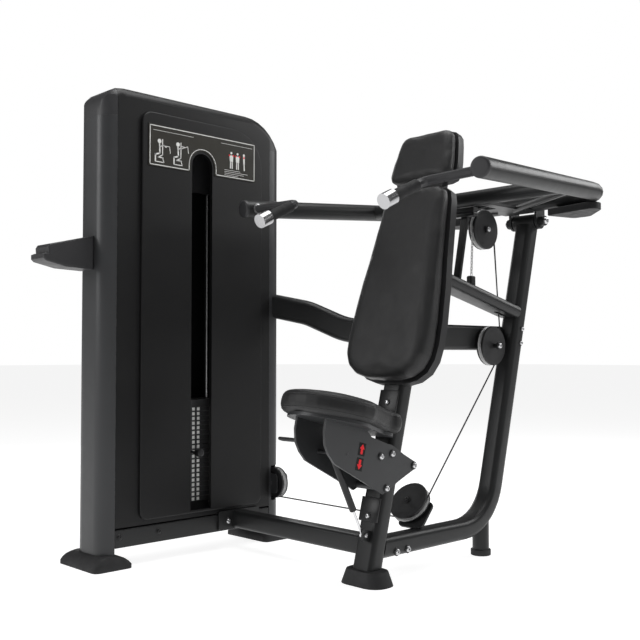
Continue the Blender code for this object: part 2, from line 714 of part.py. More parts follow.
def build_pulleys():
    wheel("base_pulley", TOWER_PULLEY, ABOUT_Y, BASE_WHEEL, BASE_GROOVE)
    wheel("stack_top_pulley", (STACK_X, *PULLEY_TOP), ABOUT_X)
    wheel("rear_top_pulley", (STACK_X, *PULLEY_REAR), ABOUT_X)
    wheel("floor_pulley", PULLEY_C, (atan2(RUN.z, RUN.y), 0, 0))
    wheel("beam_pulley", (STATION_X, *PULLEY_B), ABOUT_X)


# ---------------------------------------------------------------- cable
def yz(centre, radius, start, end, steps, x):
    return [(x, u, v) for u, v in arc(centre, radius, start, end, steps)]


def tower_tangent():
    """Where the rising cable leaves the base pulley, as an angle in the plane of X and Z."""
    d = Vector((STACK_X - TOWER_PULLEY.x, PULLEY_REAR[1] - TOWER_PULLEY.z))
    return atan2(d.y, d.x) + pi / 2 - math_asin(BASE_GROOVE / d.length)


def cable_run():
    """The cable's path from over the stack, round the tower's and the floor pulleys, to the beam pulley."""
    slope = atan2(PULLEY_REAR[1] - PULLEY_TOP[1], PULLEY_REAR[0] - PULLEY_TOP[0])
    high = 90 + slope * 180 / pi
    path = yz(PULLEY_TOP, GROOVE, 180, high, 8, STACK_X)
    path += yz(PULLEY_REAR, GROOVE, high, 0, 6, STACK_X)
    start = tower_tangent() * 180 / pi
    turn = arc((TOWER_PULLEY.x, TOWER_PULLEY.z), BASE_GROOVE, start, 270, 8)
    path += [(x, TOWER_PULLEY.y, z) for x, z in turn]
    for i in range(9):
        t = pi / 2 * i / 8
        path.append(PULLEY_C + GROOVE * (Vector((sin(t), 0, 0)) - RUN * cos(t)))
    arrive = RUN_ANGLE * 180 / pi - 90
    path += yz(PULLEY_B, GROOVE, arrive, RISE_TILT * 180 / pi - WRAP_LOSS, 5, STATION_X)
    return path


def on_wheel(centre, angle):
    return (STATION_X, centre[0] + GROOVE * cos(angle), centre[1] + GROOVE * sin(angle))


def build_cables():
    wire("cable_run", cable_run(), CABLE, "cable", 1, origin=(STACK_X, *PULLEY_TOP))
    wire(
        "cable_above_stack", [(STACK_X, STACK_Y, STEM_TOP + GAP), (STACK_X, STACK_Y, PULLEY_TOP[1] - GAP)],
        CABLE, "cable", 1,
    )
    low, high = Vector(on_wheel(PULLEY_B, RISE_TILT)), Vector(on_wheel(PULLEY_A, RISE_TILT))
    along = (high - low).normalized() * GAP
    wire("cable_rise", [low + along, high - along], CABLE, "cable", 1, origin=(STATION_X, *PULLEY_B))
    drop = tangent_angle(DROP_ANCHOR, PULLEY_A, 1)
    touch = drop + pi / 2
    path = yz(PULLEY_A, GROOVE, RISE_TILT * 180 / pi, touch * 180 / pi, 14, STATION_X)
    wire("cable_over_arm_pulley", path, CABLE, "cable", 1, origin=(STATION_X, *PULLEY_A))
    top = Vector(path[-1])
    foot = Vector((STATION_X, *DROP_ANCHOR))
    along = (top - foot).normalized() * GAP
    wire("cable_drop", [foot, top - along], CABLE, "cable", 1, origin=foot)


# ---------------------------------------------------------------- station frame
POST = Matrix.Translation((STATION_X, POST_Y0, 0)) @ Matrix.Rotation(-LEAN, 4, "X")
POST_BACK = POST.to_3x3() @ Vector((0, 1, 0))
UP_LEAN = Vector((0, sin(UPRIGHT_LEAN), cos(UPRIGHT_LEAN)))
UP_FRONT = Vector((0, -cos(UPRIGHT_LEAN), sin(UPRIGHT_LEAN)))
UP_POINT = Vector((STATION_X, UPRIGHT_Y, UPRIGHT_Z))


def behind_post(gap=GAP):
    """The plane that cuts a member where it meets the post's rear face."""
    return POST @ Vector((0, POST_DEPTH / 2 + gap, 0)), -POST_BACK


def before_upright(gap=GAP):
    return UP_POINT + UP_FRONT * (TUBE_DEPTH / 2 + gap), -UP_FRONT


def post_space():
    """What a member beside the post leaves free for it."""
    half, depth = POST_WIDTH / 2 + GAP, POST_DEPTH / 2 + GAP
    return moved(box((-half, -depth, -0.05), (half, depth, 0.4)), POST)


BEAM_X = (STATION_X - 0.062, STATION_X - 0.018)
BEAM_Z = (0.693, 0.778)
BEND = 0.18
FOOT_Y = 0.45
HOUSING = 0.028
HOUSING_LENGTH = 0.09
BORE = 0.0123


def floor_pulley_clevis():
    """The axle of the floor pulley and the plate that holds it on the base tube, made in the wheel's frame."""
    frame = Matrix.Translation(PULLEY_C) @ Matrix((Vector((1, 0, 0)), RUN, C_AXIS)).transposed().to_4x4()
    axle = round_bm(0.008, 0.040, "Z", 16, (0, 0, -0.0025))
    arm = box((-0.022, -0.078, -0.0235), (0.078, 0.022, -0.0165), 0.018, 2, 3)
    return [moved(axle, frame), moved(arm, frame)]


def build_rear_frame():
    corner_y = UPRIGHT_Y - tan(UPRIGHT_LEAN) * (UPRIGHT_Z - BASE_Z)
    top = UP_POINT + UP_LEAN * 0.05
    path = bent([(STATION_X, -0.10, BASE_Z), (STATION_X, corner_y, BASE_Z), top], [BEND], 9)
    main = swept("rear_frame", path, TUBE_WIDTH, TUBE_DEPTH, TUBE_CORNER, [behind_post(), ((0, 0, 1.150), (0, 0, 1))])
    housing = round_bm(HOUSING, HOUSING_LENGTH, "X", 32, PIVOT)
    stub = strut((STATION_X, FOOT_Y, 0.021), (STATION_X, FOOT_Y, 0.115), 0.028)
    bore = [round_bm(BORE, 0.2, "X", 20, PIVOT)]
    finished(
        "rear_frame", combine([main, housing, stub, *floor_pulley_clevis()], cuts=bore), "frame_paint",
        (STATION_X, -0.1, BASE_Z),
    )
    rod("rear_foot", 0.034, 0.0207, (STATION_X, FOOT_Y, 0.01035), "rubber", edge=0.003)
    bm = combine([
        box((-0.480, -0.09, 0.07), (STATION_X - TUBE_WIDTH / 2 - GAP, -0.03, 0.13), 0.012, 0, 3),
        box((TOWER_X[1] + GAP, -0.15, 0.068), (-0.4767, 0.03, 0.132), 0.004, 0, 1),
    ], cuts=[post_space()])
    finished("cross_tube", bm, "frame_paint", (TOWER_X[1], -0.06, BASE_Z))


def comb(low, high, depth, tooth, count):
    """A toothed bar's outline in the post's frame, from low to high."""
    y0, z0, z1 = low[0], low[1], high
    step = (z1 - z0) / count
    outline = [(y0, z0), (y0, z1)]
    for i in range(count):
        top = z1 - i * step
        outline += [(y0 + depth, top), (y0 + depth, top - step * 0.55), (y0 + depth - tooth, top - step * 0.6),
                    (y0 + depth - tooth, top - step * 0.98)]
    return outline


def build_post():
    main = swept(
        "main_post", [POST @ Vector((0, 0, -0.05)), POST @ Vector((0, 0, 1.40))], POST_WIDTH, POST_DEPTH, 0.016,
        [((0, 0, 0.0447), (0, 0, -1))],
    )
    rack = moved(extruded(comb((0.024, 0.38), 0.56, 0.019, 0.006, 9), 0.024), POST)
    lug = moved(box((0.0085, -0.060, 0.122), (0.0145, -0.02, 0.155), 0.006, 0), POST)
    pin = round_bm(0.004, 0.020, "X", 12, (STATION_X + 0.0035, *GAS_PIN))
    finished("main_post", combine([main, rack, lug, pin]), "frame_paint", (STATION_X, POST_Y0, 0))
    boot("post_foot", (0.108, -0.168, 0), (0.272, -0.062, 0.0444), (0.014, 0.010), 0.045, "rubber")


def build_beams():
    corners = [(BEAM_X[0], 0.0, BEAM_Z[0]), (BEAM_X[1], 0.70, BEAM_Z[1])]
    beam = box(*corners, 0.012, 1, 3)
    for point, normal in (behind_post(), before_upright()):
        trim(beam, point, normal)
    axle = round_bm(0.008, 0.052, "X", 16, (BEAM_X[1] + 0.022, *PULLEY_B))
    head = round_bm(0.013, 0.006, "X", 20, (BEAM_X[1] + 0.0505, *PULLEY_B))
    finished("mid_beam", combine([beam, axle, head]), "frame_paint", (STATION_X, 0.1, sum(BEAM_Z) / 2))
    line = [Vector((-0.54, 0.1074, 0.866)), Vector((-0.357, 0.160, 0.828)), Vector((-0.2075, 0.205, 0.764)),
            Vector((0.17, 0.333, 0.737))]
    planes = [((TOWER_X[1] + GAP, 0, 0), (-1, 0, 0)), ((BEAM_X[0] - GAP, 0, 0), (1, 0, 0))]
    brace = swept("tower_brace", bent(line, [0.25, 0.25], 4), 0.050, 0.088, 0.022, planes)
    finished("tower_brace", brace, "frame_paint", line[0])
    build_diagonal()


DIAGONAL = (Vector((STATION_X, 0.141, 0.945)), Vector((STATION_X, 0.637, 0.827)))


def build_diagonal():
    a, b = DIAGONAL
    along = (b - a).normalized()
    main = swept("diagonal", [a - along * 0.06, b + along * 0.06], 0.096, 0.042, 0.018, [behind_post(), before_upright()])
    passage = box((STATION_X - 0.009, 0.543, 0.7), (STATION_X + 0.009, 0.600, 1.0), 0.008, 2, 3)
    post = strut_bar(Vector((STATION_X, 0.3225, 0.905)), Vector((STATION_X, 0.375, 1.146)), 0.028, 0.012)
    bracket = box((STATION_X - 0.05, 0.353, 1.140), (STATION_X + 0.05, 0.381, 1.1535), 0.003)
    anchor = box((STATION_X - 0.011, 0.392, 0.882), (STATION_X + 0.011, 0.418, DROP_ANCHOR[1] - ANCHOR_GAP), 0.005)
    finished("diagonal_tube", combine([main, post, bracket, anchor], cuts=[passage]), "frame_paint", a)
    block(
        "arm_stop", (STATION_X - 0.05, 0.353, 1.1538), (STATION_X + 0.05, 0.381, FRONT_TUBE[1] - 0.0253), "rubber",
        0.004,
    )


def strut_bar(a, b, width, depth):
    """A flat bar in the plane of Y and Z."""
    bm = rounded_block((width, depth, (b - a).length), 0.002, 1, 2)
    turn = Vector((0, 0, 1)).rotation_difference(b - a).to_matrix()
    bmesh.ops.rotate(bm, cent=(0, 0, 0), matrix=turn, verts=bm.verts)
    bmesh.ops.translate(bm, vec=(a + b) / 2, verts=bm.verts)
    return bm


# ---------------------------------------------------------------- seat
GAS_PIN = (-0.136, 0.146)
GAS_EYE = (-0.262, 0.396)
SIDE_PLATE = [
    (-0.3386, 0.4290), (-0.3374, 0.3953), (-0.3256, 0.3581), (-0.3049, 0.3346), (-0.2758, 0.3143),
    (-0.2493, 0.3078), (-0.0722, 0.2674), (-0.0577, 0.2630), (-0.0340, 0.2795), (0.0039, 0.3123),
    (0.0622, 0.3560), (0.0740, 0.3640), (0.0750, 0.3740), (0.0680, 0.3800), (0.0063, 0.3935), (-0.0519, 0.4103),
    (-0.0763, 0.4100), (-0.1453, 0.4157), (-0.1665, 0.4290),
]
SEAT_RODS = ((-0.0935, 0.3684, 0.010), (-0.0463, 0.3850, 0.010), (0.0600, 0.3690, 0.009), (-0.0463, 0.2826, 0.010))
SEAT_BOARD = (0.4285, 0.4383)


def to_post(y, z):
    """World y and z as the post's frame's."""
    local = POST.inverted() @ Vector((STATION_X, y, z))
    return local.y, local.z


def seat_outline(half_width, nose, rear, side):
    """Half an ellipse at the nose and rounded corners at the rear, in the seat's plane."""
    count = 14
    front = [
        (half_width * cos(pi + pi * i / count), side + (side - nose) * sin(pi + pi * i / count))
        for i in range(count + 1)
    ]
    back = filleted([(half_width, rear), (-half_width, rear), (0, side)], [0.035, 0.035, 0], 4)[:-1]
    return front + back


def build_seat():
    parts = [box((-0.060, -0.345, SEAT_BOARD[0]), (0.060, -0.085, SEAT_BOARD[1]))]
    parts.append(moved(extruded(seat_outline(0.138, -0.380, -0.075, -0.25), 0.0098, "XY"), Matrix.Translation(
        (0, 0, sum(SEAT_BOARD) / 2))))
    for a in (-0.059, 0.059):
        parts.append(extruded(SIDE_PLATE, 0.008, "YZ", a))
    eye = to_post(*GAS_EYE)
    for y, z, r in (*SEAT_RODS, (*eye, 0.005)):
        parts.append(round_bm(r, 0.128, "X", 16, (0, y, z)))
    seat = moved(combine(parts), POST)
    finished("seat_frame", seat, "upright_paint", POST @ Vector((0, -0.15, 0.35)))
    pad = extruded(seat_outline(0.165, -0.416, -0.060, -0.255), 0.060, "XY", 0, edge=0.018)
    pad = moved(pad, POST @ Matrix.Translation((0, 0, SEAT_BOARD[1] + GAP + 0.030)))
    finished("seat_pad", pad, "vinyl", POST @ Vector((0, -0.25, SEAT_BOARD[1])))
    pivot = POST @ Vector((-0.068, -0.225, 0.372))
    path = [POST @ Vector(p) for p in (
        (-0.0685, -0.225, 0.372), (-0.0745, -0.230, 0.371), (-0.080, -0.262, 0.370), (-0.088, -0.276, 0.369),
        (-0.110, -0.280, 0.369),
    )]
    paddle = moved(box((-0.176, -0.292, 0.3635), (-0.098, -0.268, 0.3745), 0.005), POST)
    finished("seat_lever", combine([swept_round(path, 0.005), paddle]), "black_metal", pivot)


def build_gas_spring():
    low, high = Vector((STATION_X, *GAS_PIN)), Vector((STATION_X, *GAS_EYE))
    along = (high - low).normalized()
    length = (high - low).length
    eye = round_bm(0.0075, 0.008, "X", 20, low)
    bm = combine([eye, strut(low + along * 0.004, low + along * (length - 0.075), 0.004, 16)],
                 cuts=[round_bm(0.0043, 0.1, "X", 12, low)])
    finished("gas_spring_rod", bm, "chrome", low)
    body = strut(low + along * 0.085, high - along * 0.006, 0.0105, 24)
    eye = round_bm(0.0130, 0.016, "X", 24, high)
    bm = combine([body, eye], cuts=[
        strut(low, low + along * (length - 0.030), 0.0046, 16), round_bm(0.0095, 0.1, "X", 20, high),
    ])
    finished("gas_spring_body", bm, "black_metal", high)


# ---------------------------------------------------------------- back and head cushions
BACK_OUTLINE = (
    (0.0, 0.595), (0.060, 0.597), (0.105, 0.609), (0.140, 0.634), (0.160, 0.672), (0.167, 0.722), (0.166, 0.790),
    (0.157, 0.905), (0.147, 0.985), (0.136, 1.095), (0.126, 1.190), (0.117, 1.220), (0.095, 1.236), (0.0, 1.239),
)
HEAD_OUTLINE = (
    (0.0, 1.252), (0.096, 1.254), (0.118, 1.261), (0.128, 1.280), (0.125, 1.325), (0.117, 1.380), (0.111, 1.408),
    (0.099, 1.424), (0.078, 1.431), (0.0, 1.433),
)
PAD_BACK = -0.0357
SHELL_BACK = -0.008
RECESS = (POST_WIDTH / 2 + GAP, -POST_DEPTH / 2 - GAP)


def mirrored(half):
    """A closed outline from the half of it at positive U, which starts and ends on the middle line."""
    return list(half) + [(-u, v) for u, v in half[-2:0:-1]]


def shrunk(half, inset):
    """The half outline with its sides and ends moved in."""
    low, high = half[0][1], half[-1][1]
    middle = (low + high) / 2
    scale = (middle - low - inset) / (middle - low)
    return [(max(0.0, u - inset) if u else 0.0, middle + (v - middle) * scale) for u, v in half]


def slope_face(bm, rise, low, high, middle):
    """Leans a cushion's front face back by rise from low to high."""
    for vertex in bm.verts:
        if vertex.co.y < middle:
            vertex.co.y += rise * (vertex.co.z - low) / (high - low)
    return bm


def build_back():
    outlines = (
        ("backrest_pad", BACK_OUTLINE, -0.1060, 0.0240, 0.018),
        ("headrest_pad", HEAD_OUTLINE, -0.0790, 0.0110, 0.014),
    )
    for name, half, face, rise, edge in outlines:
        low, high = half[0][1], half[-1][1]
        middle = (PAD_BACK + face) / 2
        bm = extruded(mirrored(half), PAD_BACK - face, "XZ", middle, edge=edge)
        slope_face(bm, rise, low, high, middle)
        finished(name, moved(bm, POST), "vinyl", POST @ Vector((0, PAD_BACK, (low + high) / 2)))
    thickness = SHELL_BACK - PAD_BACK - GAP
    middle = SHELL_BACK - thickness / 2
    parts = [
        extruded(mirrored(shrunk(BACK_OUTLINE, 0.002)), thickness, "XZ", middle),
        extruded(mirrored(shrunk(HEAD_OUTLINE, 0.002)), thickness, "XZ", middle),
        box((-0.075, PAD_BACK + GAP, 1.15), (0.075, SHELL_BACK, 1.35)),
    ]
    recess = box((-RECESS[0], RECESS[1], 0.5), (RECESS[0], 0.05, 1.402))
    board = moved(combine(parts, cuts=[recess]), POST)
    finished("back_board", board, "black_metal", POST @ Vector((0, PAD_BACK, 0.9)))


# ---------------------------------------------------------------- press arm
def arm_point(side, y, inward=0.0):
    """A point of an arm's centre line at y."""
    run = y - ARM_FRONT[1]
    a = ARM_FRONT[0] - ARM_TOE_IN * run - inward
    return Vector((STATION_X + side * a, y, ARM_FRONT[2] + ARM_RISE * run))


def arm_cuts(gap=GAP):
    return [strut(arm_point(s, -0.25), arm_point(s, 0.75), ARM_RADIUS + gap, 32) for s in (-1, 1)]


YOKE_Z = (1.185, 1.195)
YOKE_WIDTH = 0.12
EAR_X = (0.050, 0.058)


def build_arm_tubes():
    ends = [arm_point(s, ARM_FRONT[1]) for s in (-1, 1)]
    corners = [arm_point(s, REAR_TUBE[0]) for s in (-1, 1)]
    path = bent([ends[0], corners[0], corners[1], ends[1]], [ARM_BEND, ARM_BEND], 8)
    wire("arm_tube", path, ARM_RADIUS, "frame_paint", 5, origin=PIVOT)
    half = ARM_FRONT[0] - ARM_TOE_IN * (FRONT_TUBE[0] - ARM_FRONT[1])
    line = [Vector((STATION_X + s * half, *FRONT_TUBE)) for s in (-1, 1)]
    bm = combine([strut(*line, 0.025, 32)], cuts=arm_cuts())
    finished("front_cross_tube", largest(bm), "frame_paint", (STATION_X, *FRONT_TUBE))
    for side in (-1, 1):
        name = "arm_cap_right" if side < 0 else "arm_cap_left"
        end, inner = arm_point(side, ARM_FRONT[1] - 0.0003), arm_point(side, ARM_FRONT[1] - 0.012)
        bm = strut(inner, end, ARM_RADIUS, 32)
        rim = [e for e in bm.edges if all((v.co - inner).length < ARM_RADIUS + 0.0005 for v in e.verts)]
        bmesh.ops.bevel(bm, geom=rim, offset=0.006, segments=3, affect="EDGES", profile=0.5)
        finished(name, bm, "cap_plastic", end)


def largest(bm):
    """Keeps the connected piece with the most vertices."""
    groups, seen = [], set()
    for vertex in bm.verts:
        if vertex in seen:
            continue
        group, queue = [], [vertex]
        seen.add(vertex)
        while queue:
            now = queue.pop()
            group.append(now)
            for edge in now.link_edges:
                other = edge.other_vert(now)
                if other not in seen:
                    seen.add(other)
                    queue.append(other)
        groups.append(group)
    groups.sort(key=len)
    for group in groups[:-1]:
        bmesh.ops.delete(bm, geom=group, context="VERTS")
    return bm


def rear_tube_cut(gap=GAP):
    return strut((STATION_X - 0.4, *REAR_TUBE), (STATION_X + 0.4, *REAR_TUBE), ARM_RADIUS + gap, 40)


def build_yoke():
    half = YOKE_WIDTH / 2
    flat = box((STATION_X - half, 0.355, YOKE_Z[0]), (STATION_X + half, 0.700, YOKE_Z[1]))
    opening = box((STATION_X - 0.022, PULLEY_A[0] - 0.052, 1.1), (STATION_X + 0.022, PULLEY_A[0] + 0.052, 1.3), 0.01, 2)
    front_cut = strut((STATION_X - 0.3, *FRONT_TUBE), (STATION_X + 0.3, *FRONT_TUBE), 0.0253, 32)
    body = combine([flat], cuts=[opening, front_cut, rear_tube_cut()])
    body = keep_between(body, FRONT_TUBE[0], REAR_TUBE[0])
    pin = round_bm(0.005, 0.056, "X", 12, (STATION_X, PULLEY_A[0], HANGER_PIN_Z))
    struts = [strut(arm_point(s, 0.42) + Vector((0, 0, -0.006)), (STATION_X + s * 0.035, 0.615, 1.190), 0.012, 16)
              for s in (-1, 1)]
    bm = combine([body, pin, *struts], cuts=[*arm_cuts(), rear_tube_cut()])
    finished("arm_yoke", largest(bm), "frame_paint", (STATION_X, 0.5, YOKE_Z[0]))


def keep_between(bm, y0, y1):
    trim(bm, (0, y0, 0), (0, -1, 0))
    trim(bm, (0, y1, 0), (0, 1, 0))
    return bm


def build_pivot():
    """The two ears under the rear tube, the shaft through them and its nuts."""
    y, z = PIVOT.y, PIVOT.z
    outline = [*arc((y, z), HOUSING, 180, 360, 10), (y + HOUSING, 1.205), (y - HOUSING, 1.205)]
    parts = [extruded(outline, EAR_X[1] - EAR_X[0], "YZ", STATION_X + s * sum(EAR_X) / 2) for s in (-1, 1)]
    parts = [combine([p], cuts=[rear_tube_cut()]) for p in parts]
    parts.append(round_bm(BORE - GAP, 0.13, "X", 20, PIVOT))
    parts += [round_bm(0.0185, 0.020, "X", 24, PIVOT + Vector((s * 0.0675, 0, 0)), edge=0.002) for s in (-1, 1)]
    finished("pivot_ears", combine(parts), "frame_paint", PIVOT)


def build_counterweights():
    for side in (-1, 1):
        points = [(0.142, 0.648), (0.176, 0.772), (0.244, 0.771), (0.347, 0.660), (0.347, 0.610), (0.280, 0.620)]
        outline = filleted([(STATION_X + side * a, y) for a, y in points], [0.012, 0.02, 0.035, 0.04, 0.02, 0.0], 4)
        bm = extruded(outline, 0.024, "XY", 1.1718, edge=0.003)
        name = "counterweight_right" if side < 0 else "counterweight_left"
        finished(name, bm, "cast_iron", (STATION_X + side * 0.245, 0.69, 1.1718))


GRIP_RADIUS = 0.017


def build_handles():
    for side in (-1, 1):
        name = "right" if side < 0 else "left"
        points = [(0.455, -0.1665, 1.161), (0.258, -0.157, 1.159), (0.253, -0.320, 1.084)]
        line = [Vector((STATION_X + side * a, y, z)) for a, y, z in points]
        tip = line[2]
        along = (line[2] - line[1]).normalized()
        path = bent(line, [0.028], 6)
        bar = swept_round(path[:-1] + [tip - along * 0.002], 0.0135)
        cap = strut(tip - along * 0.040, tip, 0.022, 24)
        cuts = [strut(arm_point(side, -0.25), arm_point(side, 0.0), ARM_RADIUS + GAP, 32)]
        bar = largest(combine([combine([bar], cuts=cuts), cap]))
        finished(f"handle_{name}", bar, "chrome", line[1])
        start = line[1] + along * 0.036
        end = tip - along * (0.040 + GAP)
        sleeve = combine([strut(start, end, GRIP_RADIUS, 24)], cuts=[strut(start - along * 0.1, tip, 0.0139, 20)])
        finished(f"grip_{name}", sleeve, "rubber", start)


def swept_round(path, radius):
    """A bmesh round bar along a bent path."""
    curve = bpy.data.curves.new("bar", "CURVE")
    curve.dimensions = "3D"
    curve.bevel_depth = radius
    curve.bevel_resolution = 3
    curve.use_fill_caps = True
    line = curve.splines.new("POLY")
    line.points.add(len(path) - 1)
    for point, co in zip(line.points, path):
        point.co = (*co, 1)
    made = linked(bpy.data.objects.new("bar", curve))
    graph = bpy.context.evaluated_depsgraph_get()
    mesh = bpy.data.meshes.new_from_object(made.evaluated_get(graph))
    bpy.data.objects.remove(made, do_unlink=True)
    bm = bmesh.new()
    bm.from_mesh(mesh)
    bmesh.ops.remove_doubles(bm, verts=bm.verts, dist=1e-6)
    return bm


def build_hanger():
    y, z = PULLEY_A
    outline = [*arc((y, HANGER_PIN_Z), 0.010, 0, 180, 8), *arc((y, z), 0.014, 180, 360, 10)]
    parts = [
        extruded(outline, CHEEK, "YZ", STATION_X - 0.0185),
        round_bm(0.008, 0.039, "X", 16, (STATION_X - 0.0010, y, z)),
        round_bm(0.012, 0.006, "X", 20, (STATION_X + 0.0185, y, z), edge=0.0015),
    ]
    hole = round_bm(0.0055, 0.1, "X", 16, (STATION_X, y, HANGER_PIN_Z))
    finished("pulley_hanger", combine(parts, cuts=[hole]), "black_metal", (STATION_X, y, HANGER_PIN_Z))
    wheel("arm_pulley", (STATION_X, y, z), ABOUT_X)


build_tower_posts()
build_covers()
build_head_frame()
build_tower_trim()
build_stack()
build_pulleys()
build_cables()
build_rear_frame()
build_post()
build_beams()
build_seat()
build_gas_spring()
build_back()
build_arm_tubes()
build_yoke()
build_pivot()
build_counterweights()
build_handles()
build_hanger()
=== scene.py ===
"""The looks of the shoulder press machine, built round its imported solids."""
import json
from math import atan2, cos, pi, radians, sin

import bmesh
import bpy
from mathutils import Matrix, Vector


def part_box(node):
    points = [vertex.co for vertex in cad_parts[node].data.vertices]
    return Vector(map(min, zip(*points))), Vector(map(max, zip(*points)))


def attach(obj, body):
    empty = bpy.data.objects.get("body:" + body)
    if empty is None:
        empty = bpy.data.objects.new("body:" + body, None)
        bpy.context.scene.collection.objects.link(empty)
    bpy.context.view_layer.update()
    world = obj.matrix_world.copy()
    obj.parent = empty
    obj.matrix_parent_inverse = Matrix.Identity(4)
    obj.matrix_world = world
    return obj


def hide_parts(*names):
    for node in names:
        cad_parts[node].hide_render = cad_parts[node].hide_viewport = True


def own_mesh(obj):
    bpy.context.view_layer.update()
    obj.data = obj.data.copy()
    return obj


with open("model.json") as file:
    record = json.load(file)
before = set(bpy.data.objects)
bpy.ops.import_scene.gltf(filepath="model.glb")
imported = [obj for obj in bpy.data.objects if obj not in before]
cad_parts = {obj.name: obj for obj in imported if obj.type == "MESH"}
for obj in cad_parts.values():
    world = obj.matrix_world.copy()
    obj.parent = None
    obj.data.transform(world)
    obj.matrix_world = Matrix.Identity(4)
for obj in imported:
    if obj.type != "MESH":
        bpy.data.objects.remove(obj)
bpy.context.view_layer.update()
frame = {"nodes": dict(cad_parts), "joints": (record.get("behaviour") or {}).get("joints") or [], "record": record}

NODES = frame["nodes"]
STATION_X = 0.19
LEAN = radians(14.7)
POST = Matrix.Translation((STATION_X, -0.126, 0)) @ Matrix.Rotation(-LEAN, 4, "X")

# ------------------------------------------------------------------ camera, light, floor
camera = bpy.data.objects.new("camera", bpy.data.cameras.new("camera"))
bpy.context.scene.collection.objects.link(camera)
camera.location = (2.06, -2.12, 0.68)
camera.rotation_euler = (radians(92.12), 0, radians(45.92))
camera.data.lens = 51.47
camera.data.sensor_width = 36
camera.data.clip_end = 60
bpy.context.scene.camera = camera


def area_light(name, at, target, size, power):
    data = bpy.data.lights.new(name, "AREA")
    data.shape = "RECTANGLE"
    data.size, data.size_y = size
    data.energy = power
    made = bpy.data.objects.new(name, data)
    bpy.context.scene.collection.objects.link(made)
    made.location = at
    made.rotation_euler = (Vector(target) - Vector(at)).to_track_quat("-Z", "Y").to_euler()


# Each lamp: name, place, the point it faces, size in metres, power in watts.
LAMPS = (
    ("top_softbox", (0.2, 0.2, 4.4), (0.1, 0.1, 0.6), (3.0, 3.0), 118),
    ("key", (3.4, -1.2, 3.4), (0, 0, 0.8), (1.8, 1.8), 9),
    ("left_fill", (-2.2, -3.8, 2.4), (-0.4, 0, 0.8), (1.8, 2.6), 66),
    ("back_rim", (1.6, 3.4, 2.8), (0.2, 0.2, 0.9), (2.8, 1.6), 60),
    ("rear_left", (-3.4, 1.6, 2.0), (-0.4, 0, 0.8), (2.0, 2.4), 30),
)
for lamp in LAMPS:
    area_light(*lamp)

# The white world is bright where the camera sees it, and lights the machine more weakly.
WORLD_LIGHT = 0.10
WORLD_SEEN = 1.0
world = bpy.data.worlds.new("studio")
world.use_nodes = True
sky = world.node_tree
seen = sky.nodes.new("ShaderNodeLightPath").outputs["Is Camera Ray"]
strength = sky.nodes.new("ShaderNodeMapRange")
sky.links.new(seen, strength.inputs["Value"])
strength.inputs["To Min"].default_value = WORLD_LIGHT
strength.inputs["To Max"].default_value = WORLD_SEEN
sky.links.new(strength.outputs[0], sky.nodes["Background"].inputs["Strength"])
sky.nodes["Background"].inputs["Color"].default_value = (1.0, 1.0, 1.0, 1)
bpy.context.scene.world = world
bpy.context.scene.view_settings.view_transform = "Standard"


